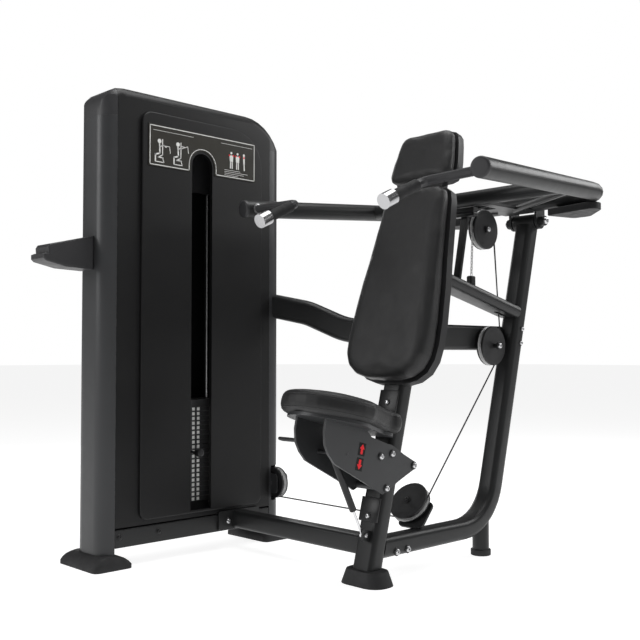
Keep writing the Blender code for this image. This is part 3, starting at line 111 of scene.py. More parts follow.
# ------------------------------------------------------------------ materials
class Finish:
    """A Principled material whose colour, roughness and bump come from patterns in object coordinates."""

    def __init__(self, name, colour, roughness, metallic=0.0, coat=0.0, sheen=0.0, specular=0.4):
        self.material = bpy.data.materials.new(name)
        self.material.use_nodes = True
        self.tree = self.material.node_tree
        self.shader = self.tree.nodes["Principled BSDF"]
        inputs = self.shader.inputs
        inputs["Metallic"].default_value = metallic
        inputs["Coat Weight"].default_value = coat
        inputs["Coat Roughness"].default_value = 0.25
        inputs["Sheen Weight"].default_value = sheen
        inputs["Specular IOR Level"].default_value = specular
        inputs["Base Color"].default_value = (*colour, 1)
        inputs["Roughness"].default_value = roughness
        self.material.diffuse_color = (*colour, 1)
        self.coords = self.node("ShaderNodeTexCoord").outputs["Object"]
        self.colour = None
        self.rough = None
        self.height = None
        self.base = colour
        self.roughness = roughness

    def node(self, kind, **settings):
        made = self.tree.nodes.new(kind)
        for key, value in settings.items():
            setattr(made, key, value)
        return made

    def wire(self, a, b):
        self.tree.links.new(a, b)

    def feed(self, node, values):
        for key, value in values.items():
            if isinstance(value, bpy.types.NodeSocket):
                self.wire(value, node.inputs[key])
            else:
                node.inputs[key].default_value = value
        return node

    def math(self, operation, a, b=0.0, clamp=False):
        made = self.node("ShaderNodeMath", operation=operation, use_clamp=clamp)
        return self.feed(made, {0: a, 1: b}).outputs[0]

    def vector(self, operation, a, b, out="Vector"):
        return self.feed(self.node("ShaderNodeVectorMath", operation=operation), {0: a, 1: b}).outputs[out]

    def noise(self, scale, detail=3.0):
        made = self.node("ShaderNodeTexNoise")
        values = {"Vector": self.coords, "Scale": scale, "Detail": detail, "Roughness": 0.5}
        return self.feed(made, values).outputs[0]

    def cells(self, scale, feature="F1"):
        made = self.node("ShaderNodeTexVoronoi", feature=feature)
        return self.feed(made, {"Vector": self.coords, "Scale": scale}).outputs["Distance"]

    def ramp(self, value, a, b, low, high):
        made = self.node("ShaderNodeMapRange")
        return self.feed(made, {"Value": value, 1: a, 2: b, 3: low, 4: high}).outputs[0]

    def mix(self, factor, a, b):
        made = self.node("ShaderNodeMix", data_type="RGBA")
        colours = [value if isinstance(value, bpy.types.NodeSocket) else (*value, 1) for value in (a, b)]
        return self.feed(made, {0: factor, 6: colours[0], 7: colours[1]}).outputs[2]

    def cloud(self, scale, spread, detail=4.0):
        """Mottles the colour by up to spread either way."""
        shade = self.ramp(self.noise(scale, detail), 0.3, 0.7, 0.0, 1.0)
        dark = tuple(c * (1 - spread) for c in self.base)
        light = tuple(c * (1 + spread) for c in self.base)
        self.colour = self.mix(shade, dark, light)
        return self

    def uneven(self, scale, spread):
        """Varies the roughness by up to spread either way."""
        shade = self.noise(scale, 5.0)
        self.rough = self.ramp(shade, 0.3, 0.7, self.roughness - spread, self.roughness + spread)
        return self

    def bump(self, height, strength, distance):
        made = self.node("ShaderNodeBump")
        self.feed(made, {"Height": height, "Strength": strength, "Distance": distance})
        if self.height is not None:
            self.wire(self.height, made.inputs["Normal"])
        self.height = made.outputs[0]
        return self

    def worn(self, light, amount=0.6, radius=0.0022):
        """Rubs the edges paler: where the rounded normal turns away from the true one."""
        soft = self.feed(self.node("ShaderNodeBevel", samples=4), {"Radius": radius}).outputs[0]
        true = self.node("ShaderNodeNewGeometry").outputs["Normal"]
        edge = self.ramp(self.vector("DOT_PRODUCT", soft, true, "Value"), 0.985, 0.80, 0.0, 1.0)
        patchy = self.ramp(self.noise(60.0, 6.0), 0.42, 0.62, 0.15, 1.0)
        factor = self.math("MULTIPLY", self.math("MULTIPLY", edge, patchy), amount, clamp=True)
        self.colour = self.mix(factor, self.colour if self.colour is not None else self.base, light)
        return self

    def done(self):
        if self.colour is not None:
            self.wire(self.colour, self.shader.inputs["Base Color"])
        if self.rough is not None:
            self.wire(self.rough, self.shader.inputs["Roughness"])
        if self.height is not None:
            self.wire(self.height, self.shader.inputs["Normal"])
        return self.material


def powder_coat(name, colour, roughness=0.42, light=(0.13, 0.13, 0.133)):
    made = Finish(name, colour, roughness, 0.20, 0.10, 0.0, 0.34).cloud(2.6, 0.10).uneven(30.0, 0.03)
    made.bump(made.noise(620.0, 2.0), 0.16, 0.0006).bump(made.noise(95.0, 2.0), 0.05, 0.001)
    return made.worn(light).done()


def vinyl(name, colour):
    made = Finish(name, colour, 0.48, 0.0, 0.03, 0.03).cloud(5.0, 0.20).uneven(26.0, 0.08)
    grain = made.ramp(made.cells(520.0, "DISTANCE_TO_EDGE"), 0.0, 0.22, 0.0, 1.0)
    made.bump(grain, 0.30, 0.0005).bump(made.noise(34.0, 4.0), 0.22, 0.0016)
    made.bump(made.noise(9.0, 2.0), 0.14, 0.004)
    return made.worn((0.10, 0.10, 0.104), 0.35, 0.003).done()


def rubber(name, colour, scale=300.0):
    made = Finish(name, colour, 0.68).cloud(7.0, 0.22).uneven(40.0, 0.09)
    made.bump(made.noise(scale, 3.0), 0.28, 0.0008)
    return made.worn((0.07, 0.07, 0.07), 0.5, 0.002).done()


def metal(name, colour, roughness, brushed=0.02):
    made = Finish(name, colour, roughness, 1.0).cloud(12.0, 0.05).uneven(55.0, brushed)
    return made.bump(made.noise(240.0, 4.0), 0.05, 0.0004).done()


def moulded(name, colour, roughness=0.45, grain=420.0):
    made = Finish(name, colour, roughness).cloud(4.0, 0.18).uneven(22.0, 0.07)
    made.bump(made.noise(grain, 2.0), 0.20, 0.0005)
    return made.worn((0.12, 0.12, 0.12), 0.45).done()


def cast(name):
    made = Finish(name, (0.020, 0.020, 0.021), 0.60, 0.35).cloud(9.0, 0.3).uneven(45.0, 0.10)
    made.bump(made.noise(170.0, 6.0), 0.45, 0.0014)
    return made.worn((0.11, 0.11, 0.11), 0.5).done()


def foam(name):
    made = Finish(name, (0.016, 0.016, 0.017), 0.78).cloud(14.0, 0.25).uneven(60.0, 0.06)
    made.bump(made.cells(680.0), 0.42, 0.0009)
    return made.done()


def printed(name, colour, roughness=0.5):
    made = Finish(name, colour, roughness).cloud(30.0, 0.08).uneven(60.0, 0.05)
    return made.bump(made.noise(500.0, 2.0), 0.08, 0.0003).done()


def wheel_finish(name, centre, axis, groove):
    """Black nylon with a bright liner in the groove, a raised rim and hub, and fine turning rings."""
    made = Finish(name, (0.018, 0.018, 0.019), 0.42).uneven(30.0, 0.07)
    offset = made.vector("SUBTRACT", made.coords, tuple(centre))
    along = made.vector("DOT_PRODUCT", offset, tuple(axis), "Value")
    distance = made.vector("LENGTH", offset, (0, 0, 0), "Value")
    radius = made.math("SQRT", made.math("MAXIMUM", made.math(
        "SUBTRACT", made.math("MULTIPLY", distance, distance), made.math("MULTIPLY", along, along)), 0.0))
    inner = made.math("LESS_THAN", made.math("ABSOLUTE", along), 0.0064)
    liner = made.math("MULTIPLY", inner, made.math("GREATER_THAN", radius, groove - 0.012))
    shade = made.ramp(made.noise(8.0), 0.3, 0.7, 0.0, 1.0)
    black = made.mix(shade, (0.013, 0.013, 0.014), (0.027, 0.027, 0.028))
    made.colour = made.mix(liner, black, (0.62, 0.62, 0.62))
    made.wire(made.math("MULTIPLY", liner, 0.35), made.shader.inputs["Metallic"])
    past_hub = made.math("GREATER_THAN", radius, 0.019)
    web = made.math("MULTIPLY", past_hub, made.math("LESS_THAN", radius, groove - 0.006))
    made.bump(web, 0.9, 0.0022).bump(made.math("SINE", made.math("MULTIPLY", radius, 5200.0)), 0.06, 0.0004)
    made.bump(made.noise(420.0, 2.0), 0.12, 0.0004)
    return made.done()


def split_finish(name, dark, point, along, rings=True):
    """Dark paint up to a plane and bright chrome past it, as on a press handle and its end cap; on the guide rods
    the dark part is painted shade over chrome.
    """
    made = Finish(name, dark, 0.30).cloud(10.0, 0.15)
    offset = made.vector("SUBTRACT", made.coords, tuple(point))
    height = made.vector("DOT_PRODUCT", offset, tuple(along), "Value")
    bright = made.math("GREATER_THAN", height, 0.0)
    made.colour = made.mix(bright, made.colour, (0.50, 0.50, 0.51))
    made.wire(bright, made.shader.inputs["Metallic"])
    made.rough = made.ramp(bright, 0.0, 1.0, 0.40, 0.24)
    if rings:
        across = made.vector("CROSS_PRODUCT", offset, tuple(along))
        distance = made.vector("LENGTH", across, (0, 0, 0), "Value")
        gap = made.math("ABSOLUTE", made.math("SUBTRACT", distance, 0.0115))
        made.bump(made.math("LESS_THAN", gap, 0.0013), -0.8, 0.002)
    made.bump(made.noise(160.0, 3.0), 0.05, 0.0004)
    return made.done()


def rope(name, colour):
    made = Finish(name, colour, 0.45).cloud(40.0, 0.2)
    lay = made.vector("DOT_PRODUCT", made.coords, (900.0, 720.0, 1080.0), "Value")
    return made.bump(made.math("SINE", lay), 0.30, 0.0006).done()


PAINT = powder_coat("charcoal_paint", (0.017, 0.0175, 0.018))
UPRIGHT = powder_coat("upright_paint", (0.042, 0.043, 0.045), 0.40, (0.18, 0.18, 0.185))
COVER = powder_coat("cover_paint", (0.006, 0.006, 0.0064), 0.48, (0.045, 0.045, 0.046))
CAP = moulded("cap_plastic", (0.030, 0.030, 0.032))
FOOT = rubber("foot_rubber", (0.020, 0.020, 0.021))
GRIP = foam("grip_foam")
VINYL = vinyl("black_vinyl", (0.0095, 0.0095, 0.010))
PIPING = vinyl("vinyl_piping", (0.014, 0.014, 0.015))
BOARD = moulded("backing_board", (0.017, 0.017, 0.018), 0.5)
PLATES = powder_coat("plate_enamel", (0.045, 0.045, 0.046), 0.38, (0.25, 0.25, 0.25))
BLACK = powder_coat("black_enamel", (0.017, 0.017, 0.018), 0.38, (0.12, 0.12, 0.12))
CHROME = metal("chrome", (0.72, 0.72, 0.73), 0.16)
STEEL = metal("zinc_steel", (0.60, 0.60, 0.61), 0.30, 0.06)
IRON = cast("cast_iron")
PLACARD = moulded("placard_face", (0.016, 0.014, 0.009), 0.55, 700.0)
WHITE = printed("white_print", (0.80, 0.80, 0.78))
RED = printed("red_print", (0.85, 0.004, 0.012))
LABEL = printed("label_black", (0.002, 0.002, 0.002), 0.7)
CABLE = rope("coated_cable", (0.016, 0.016, 0.017))
CHAIN = metal("chain_steel", (0.50, 0.50, 0.50), 0.34, 0.08)

LOOKS = {
    "frame_paint": PAINT, "upright_paint": UPRIGHT, "cover_shell": COVER, "cap_plastic": CAP,
    "foot_rubber": FOOT, "grip_rubber": GRIP, "upholstery": VINYL, "back_board": BOARD,
    "weight_plate": PLATES, "black_metal": BLACK, "pulley_nylon": BLACK, "chrome": CHROME,
    "cast_iron": IRON, "placard": PLACARD, "cable": CABLE,
}
# How far a Bevel modifier rounds the edges of these CAD nodes, in metres.
ROUNDED = {
    "seat_frame": 0.0012, "arm_yoke": 0.0015, "pivot_ears": 0.0012, "stack_top_plate": 0.001,
    "diagonal_tube": 0.0012, "cross_tube": 0.0015, "pulley_hanger": 0.0008, "mid_beam": 0.0015,
    "guide_rod_frame": 0.001, "placard": 0.0005,
}
CABLE_RADIUS = 0.0023
WHEEL_GROOVE = 0.0585
GROOVES = {
    "arm_pulley": WHEEL_GROOVE, "base_pulley": 0.049, "beam_pulley": WHEEL_GROOVE,
    "floor_pulley": WHEEL_GROOVE, "rear_top_pulley": WHEEL_GROOVE, "stack_top_pulley": WHEEL_GROOVE,
}


def clearing_group():
    """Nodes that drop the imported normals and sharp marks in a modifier, so no CAD mesh is edited."""
    group = bpy.data.node_groups.new("clear_packed_shading", "GeometryNodeTree")
    group.interface.new_socket("Geometry", in_out="INPUT", socket_type="NodeSocketGeometry")
    group.interface.new_socket("Geometry", in_out="OUTPUT", socket_type="NodeSocketGeometry")
    flow = group.nodes.new("NodeGroupInput").outputs["Geometry"]
    for name in ("custom_normal", "sharp_edge", "sharp_face"):
        drop = group.nodes.new("GeometryNodeRemoveAttribute")
        drop.inputs["Name"].default_value = name
        group.links.new(flow, drop.inputs["Geometry"])
        flow = drop.outputs["Geometry"]
    group.links.new(flow, group.nodes.new("NodeGroupOutput").inputs["Geometry"])
    return group


CLEARING = clearing_group()


def smooth(obj, bevel=0.0):
    """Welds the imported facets, rounds their edges and shades the rest smooth, all in modifiers."""
    obj.modifiers.new("clear", "NODES").node_group = CLEARING
    weld = obj.modifiers.new("weld", "WELD")
    weld.merge_threshold = 0.00002
    if bevel:
        edge = obj.modifiers.new("edge", "BEVEL")
        edge.width = bevel
        edge.segments = 2
        edge.limit_method = "ANGLE"
        edge.angle_limit = radians(40)
    split = obj.modifiers.new("split", "EDGE_SPLIT")
    split.split_angle = radians(35)
    split.use_edge_sharp = False
    weighted = obj.modifiers.new("weighted", "WEIGHTED_NORMAL")
    weighted.keep_sharp = True


def paint(obj, material):
    """Gives a new piece its one material."""
    obj.data.materials.clear()
    obj.data.materials.append(material)


def paint_node(node, material):
    """Gives a CAD node its material through its object's slot."""
    node.material_slots[0].material = material


for part in frame["record"]["subparts"]:
    node = NODES[part["node"]]
    paint_node(node, LOOKS[part["material_slot"]])
    smooth(node, bevel=ROUNDED.get(node.name, 0.0))

JOINTS = {joint["name"]: joint for joint in frame["joints"]}
for wheel, groove in GROOVES.items():
    low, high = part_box(wheel)
    axis = JOINTS[f"{wheel}_spin"]["axis"]
    paint_node(NODES[wheel], wheel_finish(f"{wheel}_finish", (low + high) / 2, axis, groove))


# ------------------------------------------------------------------ making pieces
def piece(name, bm, body, material, angle=35):
    mesh = bpy.data.meshes.new(name)
    bmesh.ops.recalc_face_normals(bm, faces=bm.faces)
    bm.to_mesh(mesh)
    bm.free()
    mesh.polygons.foreach_set("use_smooth", [True] * len(mesh.polygons))
    made = bpy.data.objects.new(name, mesh)
    bpy.context.scene.collection.objects.link(made)
    paint(made, material)
    split = made.modifiers.new("split", "EDGE_SPLIT")
    split.split_angle = radians(angle)
    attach(made, body)
    return made


def turn_to(normal):
    return Vector((0, 0, 1)).rotation_difference(Vector(normal)).to_matrix().to_4x4()


def hexagon(turn):
    return 1 / cos((turn + pi / 6) % (pi / 3) - pi / 6)


def lathe(bm, profile, at, normal, sides=24):
    """A closed turned form: profile is (radius, height, six-sided) from its outer foot to its middle."""
    move = Matrix.Translation(at) @ turn_to(normal)
    rings = []
    for radius, height, six in profile:
        ring = []
        for i in range(sides):
            turn = 2 * pi * i / sides
            reach = radius * (hexagon(turn) * 0.9 if six else 1.0)
            ring.append(bm.verts.new(move @ Vector((reach * cos(turn), reach * sin(turn), height))))
        rings.append(ring)
    for low, high in zip(rings, rings[1:]):
        for i in range(sides):
            bm.faces.new((low[i - 1], low[i], high[i], high[i - 1]))
    bm.faces.new(rings[0][::-1])
    bm.faces.new(rings[-1])


def fasteners(name, body, spots, radius=0.0085, head=STEEL, washer=BLACK):
    """Button-head bolts with a hexagon socket, each on a washer, at (point, normal) spots."""
    r, h = radius, radius * 0.62
    heads, washers = bmesh.new(), bmesh.new()
    for at, normal in spots:
        lift = Vector(at) + Vector(normal) * 0.0016
        lathe(heads, [(r, 0, 0), (r, h * 0.25, 0), (r * 0.93, h * 0.62, 0), (r * 0.74, h * 0.92, 0),
                      (r * 0.55, h, 0), (r * 0.44, h, 1), (r * 0.42, h * 0.45, 1)], lift, normal)
        lathe(washers, [(r * 1.36, 0, 0), (r * 1.38, 0.0009, 0), (r * 1.30, 0.0016, 0)], at, normal)
    piece(f"{name}_heads", heads, body, head)
    piece(f"{name}_washers", washers, body, washer)


def slab(bm, low, high, edge=0.001, matrix=None):
    """A block with rounded edges."""
    made = bmesh.new()
    bmesh.ops.create_cube(made, size=1.0)
    size = Vector(high) - Vector(low)
    bmesh.ops.scale(made, vec=size, verts=made.verts)
    width = min(edge, min(size) * 0.45)
    bmesh.ops.bevel(made, geom=made.edges[:], offset=width, segments=2, affect="EDGES", profile=0.5)
    bmesh.ops.translate(made, vec=(Vector(low) + Vector(high)) / 2, verts=made.verts)
    if matrix:
        bmesh.ops.transform(made, matrix=matrix, verts=made.verts)
    mesh = bpy.data.meshes.new("slab")
    made.to_mesh(mesh)
    made.free()
    bm.from_mesh(mesh)
    bpy.data.meshes.remove(mesh)


def flat(bm, points, matrix, thickness=0.0004):
    """A thin print: the outline's (u, v) points raised by thickness along matrix's Z."""
    low = [bm.verts.new(matrix @ Vector((u, v, 0))) for u, v in points]
    high = [bm.verts.new(matrix @ Vector((u, v, thickness))) for u, v in points]
    bm.faces.new(high)
    bm.faces.new(low[::-1])
    for i in range(len(points)):
        bm.faces.new((low[i - 1], low[i], high[i], high[i - 1]))


def stroke(bm, points, width, matrix, closed=False):
    """A line print of one width along points."""
    pairs = list(zip(points, points[1:])) + ([(points[-1], points[0])] if closed else [])
    for a, b in pairs:
        a, b = Vector(a), Vector(b)
        along = (b - a).normalized() * width / 2
        side = Vector((-along.y, along.x))
        a, b = a - along, b + along
        flat(bm, [a - side, b - side, b + side, a + side], matrix)


def disc(centre, radius, count=14):
    return [(centre[0] + radius * cos(2 * pi * i / count), centre[1] + radius * sin(2 * pi * i / count))
            for i in range(count)]


# ------------------------------------------------------------------ cushions
PAD_START_GAP = 0.0022
CROWN_HEIGHT = 0.0032
PINCH_REACH = 0.009
PIPING_RADIUS = 0.0011


def swell(obj, cap, frames=20):
    """Inflates the cushion as cloth under pressure, and caps how far each point may move."""
    before = [v.co.copy() for v in obj.data.vertices]
    cloth = obj.modifiers.new("cloth", "CLOTH")
    cloth.settings.use_pressure = True
    cloth.settings.uniform_pressure_force = 4.0
    cloth.settings.effector_weights.gravity = 0.0
    cloth.settings.quality = 5
    cloth.settings.mass = 0.3
    cloth.settings.tension_stiffness = 18
    cloth.settings.compression_stiffness = 18
    cloth.settings.shear_stiffness = 8
    cloth.point_cache.frame_start = 1
    cloth.point_cache.frame_end = frames
    scene = bpy.context.scene
    for step in range(1, frames + 1):
        scene.frame_set(step)
    graph = bpy.context.evaluated_depsgraph_get()
    after = [v.co.copy() for v in obj.evaluated_get(graph).data.vertices]
    obj.modifiers.remove(cloth)
    scene.frame_set(1)
    moves = evened(obj.data, [new - old for old, new in zip(before, after)])
    for vertex, old, move in zip(obj.data.vertices, before, moves):
        if move.length > cap:
            move = move.normalized() * cap
        vertex.co = old + move


def evened(mesh, moves, rounds=14):
    """The moves with each point's averaged over its neighbours, so a tight pad shows no creases."""
    near = [[] for _ in mesh.vertices]
    for edge in mesh.edges:
        a, b = edge.vertices
        near[a].append(b)
        near[b].append(a)
    for _ in range(rounds):
        moves = [(move + sum((moves[i] for i in near[k]), Vector())) / (len(near[k]) + 1)
                 for k, move in enumerate(moves)]
    return moves


def cushion(name, node, body, voxel, seams, crown, cap):
    """A stuffed pad in the space of its CAD solid, with a crowned face, and its sewn seams."""
    made = bpy.data.objects.new(name, NODES[node].data.copy())
    bpy.context.scene.collection.objects.link(made)
    made.data.transform(POST.inverted())
    low = Vector([min(v.co[i] for v in made.data.vertices) for i in range(3)])
    high = Vector([max(v.co[i] for v in made.data.vertices) for i in range(3)])
    middle = (low + high) / 2
    half = (high - low) / 2
    for vertex in made.data.vertices:
        for i in range(3):
            vertex.co[i] = middle[i] + (vertex.co[i] - middle[i]) * (1 - PAD_START_GAP / half[i])
    remesh = made.modifiers.new("remesh", "REMESH")
    remesh.mode = "VOXEL"
    remesh.voxel_size = voxel
    soften = made.modifiers.new("soften", "SMOOTH")
    soften.iterations = 4
    graph = bpy.context.evaluated_depsgraph_get()
    mesh = bpy.data.meshes.new_from_object(made.evaluated_get(graph))
    made.modifiers.clear()
    made.data = mesh
    mesh.name = name
    swell(made, cap)
    shape_pad(mesh, seams, crown, middle, half)
    divided = made.modifiers.new("divided", "SUBSURF")
    divided.levels = 1
    divided.render_levels = 1
    mesh.polygons.foreach_set("use_smooth", [True] * len(mesh.polygons))
    if seams:
        add_piping(name, mesh, seams, body)
    mesh.transform(POST)
    paint(made, VINYL)
    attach(made, body)
    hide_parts(node)


def shape_pad(mesh, seams, crown, middle, half):
    """Crowns the face and pinches the sides in along each seam."""
    axis, side = crown
    for vertex in mesh.vertices:
        co = vertex.co
        others = [i for i in range(3) if i != axis]
        reach = max(abs((co[i] - middle[i]) / half[i]) for i in others)
        front = (co[axis] - middle[axis]) / half[axis] * side
        if front > 0.3:
            co[axis] += side * CROWN_HEIGHT * max(0.0, 1 - reach ** 2) * min(1.0, (front - 0.3) / 0.4)
        for depth, slope, pinch in seams:
            gap = co[axis] - depth - slope * co[2]
            pull = pinch * max(0.0, 1 - abs(gap) / PINCH_REACH) ** 2
            if reach > 0.55 and pull:
                away = Vector([0 if i == axis else (co[i] - middle[i]) for i in range(3)]).normalized()
                co -= away * pull


def add_piping(name, mesh, seams, body):
    """A fine sewn cord in each seam, along the pad's own outline there."""
    for count, (depth, slope, _) in enumerate(seams):
        bm = bmesh.new()
        bm.from_mesh(mesh)
        axis = 1 if abs(depth) < 0.2 else 2
        normal = Vector((0, 0, 0))
        normal[axis] = 1
        if axis == 1:
            normal.z = -slope
        point = Vector((0, 0, 0))
        point[axis] = depth
        found = bmesh.ops.bisect_plane(bm, geom=bm.verts[:] + bm.edges[:] + bm.faces[:], plane_co=point,
                                       plane_no=normal.normalized(), dist=1e-7)
        cut = [g for g in found["geom_cut"] if isinstance(g, bmesh.types.BMVert)]
        cut_set = set(cut)
        loop, seen = [], set()
        current = cut[0] if cut else None
        while current is not None:
            loop.append(current.co.copy())
            seen.add(current)
            nexts = [e.other_vert(current) for e in current.link_edges if e.other_vert(current) in cut_set]
            nexts = [v for v in nexts if v not in seen]
            current = nexts[0] if nexts else None
        bm.free()
        if len(loop) < 20:
            continue
        loop = [p for i, p in enumerate(loop) if i % 2 == 0]
        curve = bpy.data.curves.new(f"{name}_seam_{count}", "CURVE")
        curve.dimensions = "3D"
        curve.bevel_depth = PIPING_RADIUS
        curve.bevel_resolution = 2
        line = curve.splines.new("POLY")
        line.points.add(len(loop) - 1)
        for spot, co in zip(line.points, loop):
            spot.co = (*(POST @ co), 1)
        line.use_cyclic_u = True
        made = bpy.data.objects.new(f"{name}_seam_{count}", curve)
        bpy.context.scene.collection.objects.link(made)
        paint(made, PIPING)
        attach(made, body)


# Each seam: its place along the pad's thin axis, its slope with height, and how far it draws the sides in.
SEAT_SEAMS = [(0.486, 0.0, 0.0016), (0.449, 0.0, 0.0012)]
cushion("seat_cushion", "seat_pad", "seat", 0.006, SEAT_SEAMS, (2, 1), 0.006)
cushion("back_cushion", "backrest_pad", "frame", 0.006, [(-0.0600, 0.012, 0.0016)], (1, -1), 0.006)
cushion("head_cushion", "headrest_pad", "frame", 0.005, [(-0.0520, 0.0, 0.0014)], (1, -1), 0.005)


# ------------------------------------------------------------------ fasteners
def on_post(a, y, z):
    return POST @ Vector((a, y, z))


OUT, BACK_IN = Vector((1, 0, 0)), Vector((-1, 0, 0))
FACE = (POST.to_3x3() @ Vector((0, -1, 0))).normalized()
seat_spots = ((-0.0935, 0.3684), (-0.0463, 0.3850), (0.0600, 0.3690), (-0.0463, 0.2826))
fasteners("seat_bolts", "seat", [(on_post(0.0642, y, z), OUT) for y, z in seat_spots]
          + [(on_post(-0.0642, y, z), BACK_IN) for y, z in seat_spots], 0.0088)
fasteners("post_plate_bolts", "frame", [(on_post(0, -0.0352, z), FACE) for z in (0.541, 0.196)], 0.0075)
plates = bmesh.new()
for z0, z1 in ((0.505, 0.580), (0.180, 0.252)):
    slab(plates, (-0.037, -0.0348, z0), (0.037, -0.0289, z1), 0.002, POST)
piece("post_front_plates", plates, "frame", BLACK)
TUBE_OUTER, TUBE_INNER = 0.2242, 0.1558
upright_spots = ((0.6574, 0.7683), (0.6479, 0.7185))
fasteners("upright_bolts", "frame", [((TUBE_OUTER, y, z), OUT) for y, z in upright_spots]
          + [((TUBE_INNER, y, z), BACK_IN) for y, z in upright_spots], 0.0075)
base_spots = ((-0.0203, 0.0845), (0.0302, 0.0854))
fasteners("base_bolts", "frame", [((TUBE_OUTER, y, z), OUT) for y, z in base_spots], 0.0095)
fasteners("flange_bolts", "frame", [((-0.4765, y, 0.097), OUT) for y in (-0.1105, -0.0100)], 0.0085)
rail_spots = [((-0.4848, y, 0.098), OUT) for y in (-0.5414, -0.3935, 0.045)]
fasteners("rail_bolts", "frame", rail_spots, 0.0075, BLACK)
fasteners("beam_pulley_bolt", "frame", [((0.2250, 0.517, 0.708), OUT)], 0.0095)
fasteners("arm_pulley_bolt", "pulley_hanger", [((0.2116, 0.476, 1.108), OUT)], 0.0085)
run = Vector(JOINTS["floor_pulley_spin"]["axis"]).normalized()
centre = Vector(JOINTS["floor_pulley_spin"]["pos_m"])
fasteners("floor_pulley_bolt", "frame", [(centre + run * 0.0176, run)], 0.0080, BLACK)
pivot = Vector(JOINTS["press_arm_swing"]["pos_m"])
fasteners("pivot_nuts", "press_arm", [(pivot + s * OUT * 0.0776, s * OUT) for s in (1, -1)], 0.0125)
fasteners("gas_pin_bolt", "frame", [((0.2038, -0.136, 0.146), OUT)], 0.0065)

# ------------------------------------------------------------------ handles and guide rods
for side, name in ((-1, "right"), (1, "left")):
    bend = Vector((STATION_X + side * 0.258, -0.157, 1.159))
    tip = Vector((STATION_X + side * 0.253, -0.320, 1.084))
    along = (tip - bend).normalized()
    chrome_from = tip - along * 0.0405
    look = split_finish(f"handle_{name}_finish", (0.030, 0.030, 0.032), chrome_from, along)
    paint_node(NODES[f"handle_{name}"], look)
    arm_end = Vector((STATION_X + side * 0.455, -0.1665, 1.161))
    toward = (bend - arm_end).normalized()
    collar = bmesh.new()
    steps = [(0.0150, 0, 0), (0.0172, 0.0006, 0), (0.0172, 0.0034, 0), (0.0150, 0.0040, 0),
             (0.0139, 0.0040, 0)]
    lathe(collar, steps, arm_end + toward * 0.0085, toward)
    piece(f"handle_collar_{name}", collar, "press_arm", STEEL)
# The chrome guide rods are painted dark on the +X side of x = -0.573, painted shade for the dark inside of the
# tower, and chrome beyond it.
rods = split_finish("guide_rod_chrome_and_painted_shade", (0.020, 0.020, 0.021), (-0.573, 0, 0), (-1, 0, 0), False)
paint_node(NODES["guide_rod_frame"], rods)

# ------------------------------------------------------------------ weight stack marks
PITCH, BASE, SEAM = 0.0163, 0.171, 0.334


def stack_marks(name, low, count, body):
    bm = bmesh.new()
    for i in range(count):
        z = low + (i + 0.5) * PITCH
        for y in (-0.2225, -0.2020):
            slab(bm, (-0.5301, y - 0.0056, z - 0.0054), (-0.5292, y + 0.0056, z + 0.0054), 0.0006)
    piece(name, bm, body, WHITE)


stack_marks("resting_plate_marks", BASE, 10, "frame")
stack_marks("lifted_plate_marks", SEAM, 10, "weight_stack")

# ------------------------------------------------------------------ placard print
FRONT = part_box("placard")[1].x + 0.00005
FACING_X = Matrix(((0, 0, 1, 0), (1, 0, 0, 0), (0, 1, 0, 0), (0, 0, 0, 1)))
TOWER_FACE = Matrix.Translation((FRONT, 0, 0)) @ FACING_X
RED_LIFT = Matrix.Translation((0, 0, 0.0002))
white, red = bmesh.new(), bmesh.new()
NOTCH_Y, NOTCH_Z, NOTCH_R = -0.230, 1.3265, 0.0575
edge = [(-0.445, 1.305), (NOTCH_Y - NOTCH_R, 1.305)]
turns = [pi - pi * i / 14 for i in range(15)]
edge += [(NOTCH_Y + NOTCH_R * cos(turn), NOTCH_Z + NOTCH_R * sin(turn)) for turn in turns]
edge += [(NOTCH_Y + NOTCH_R, 1.305), (0.000, 1.305), (0.000, 1.435), (-0.445, 1.435)]
stroke(white, edge, 0.0026, TOWER_FACE, closed=True)
stroke(white, [(-0.432, 1.4205), (-0.270, 1.4205)], 0.0011, TOWER_FACE)
stroke(white, [(-0.150, 1.4205), (-0.012, 1.4205)], 0.0011, TOWER_FACE)


def machine_glyph(y, arm):
    """A small line drawing of a seated figure under a lever."""
    flat(white, disc((y, 1.3855), 0.0075), TOWER_FACE)
    lines = (
        ([(0, 1.375), (0.002, 1.345), (-0.016, 1.340), (-0.016, 1.318)], 0.0050),
        ([(0.012, 1.392), (0.012, 1.340), (-0.006, 1.331), (0.014, 1.331)], 0.0032),
        ([(0.012, 1.331), (0.018, 1.316), (-0.014, 1.316)], 0.0026),
        ([(0.012, 1.372), (0.040, 1.372 + arm), (0.043, 1.350 + arm)], 0.0022),
        ([(0, 1.366), (0.016, 1.374 + arm * 0.6), (0.026, 1.368 + arm)], 0.0028),
    )
    for points, width in lines:
        stroke(white, [(y + u, v) for u, v in points], width, TOWER_FACE)


machine_glyph(-0.408, 0.0)
machine_glyph(-0.334, 0.012)
for y in (-0.105, -0.077):
    flat(white, disc((y, 1.3915), 0.0045), TOWER_FACE)
    torso = [(-0.0070, 1.3610), (0.0070, 1.3610), (0.0085, 1.3830), (-0.0085, 1.3830)]
    flat(white, [(y + u, v) for u, v in torso], TOWER_FACE)
    for s in (-1, 1):
        stroke(white, [(y + s * 0.0035, 1.3600), (y + s * 0.0040, 1.3380)], 0.0042, TOWER_FACE)
        flat(red, disc((y + s * 0.0085, 1.3825), 0.0032), TOWER_FACE @ RED_LIFT)
flat(white, disc((-0.048, 1.3915), 0.0045), TOWER_FACE)
stroke(white, [(-0.048, 1.3850), (-0.047, 1.3610)], 0.0075, TOWER_FACE)
stroke(white, [(-0.047, 1.3600), (-0.046, 1.3380)], 0.0048, TOWER_FACE)
flat(red, disc((-0.048, 1.3820), 0.0034), TOWER_FACE @ RED_LIFT)
for row, length in enumerate((0.070, 0.104, 0.086, 0.060)):
    z = 1.3290 - row * 0.0062
    stroke(white, [(-0.135, z), (-0.135 + length, z)], 0.0013, TOWER_FACE)
piece("placard_white", white, "frame", WHITE)
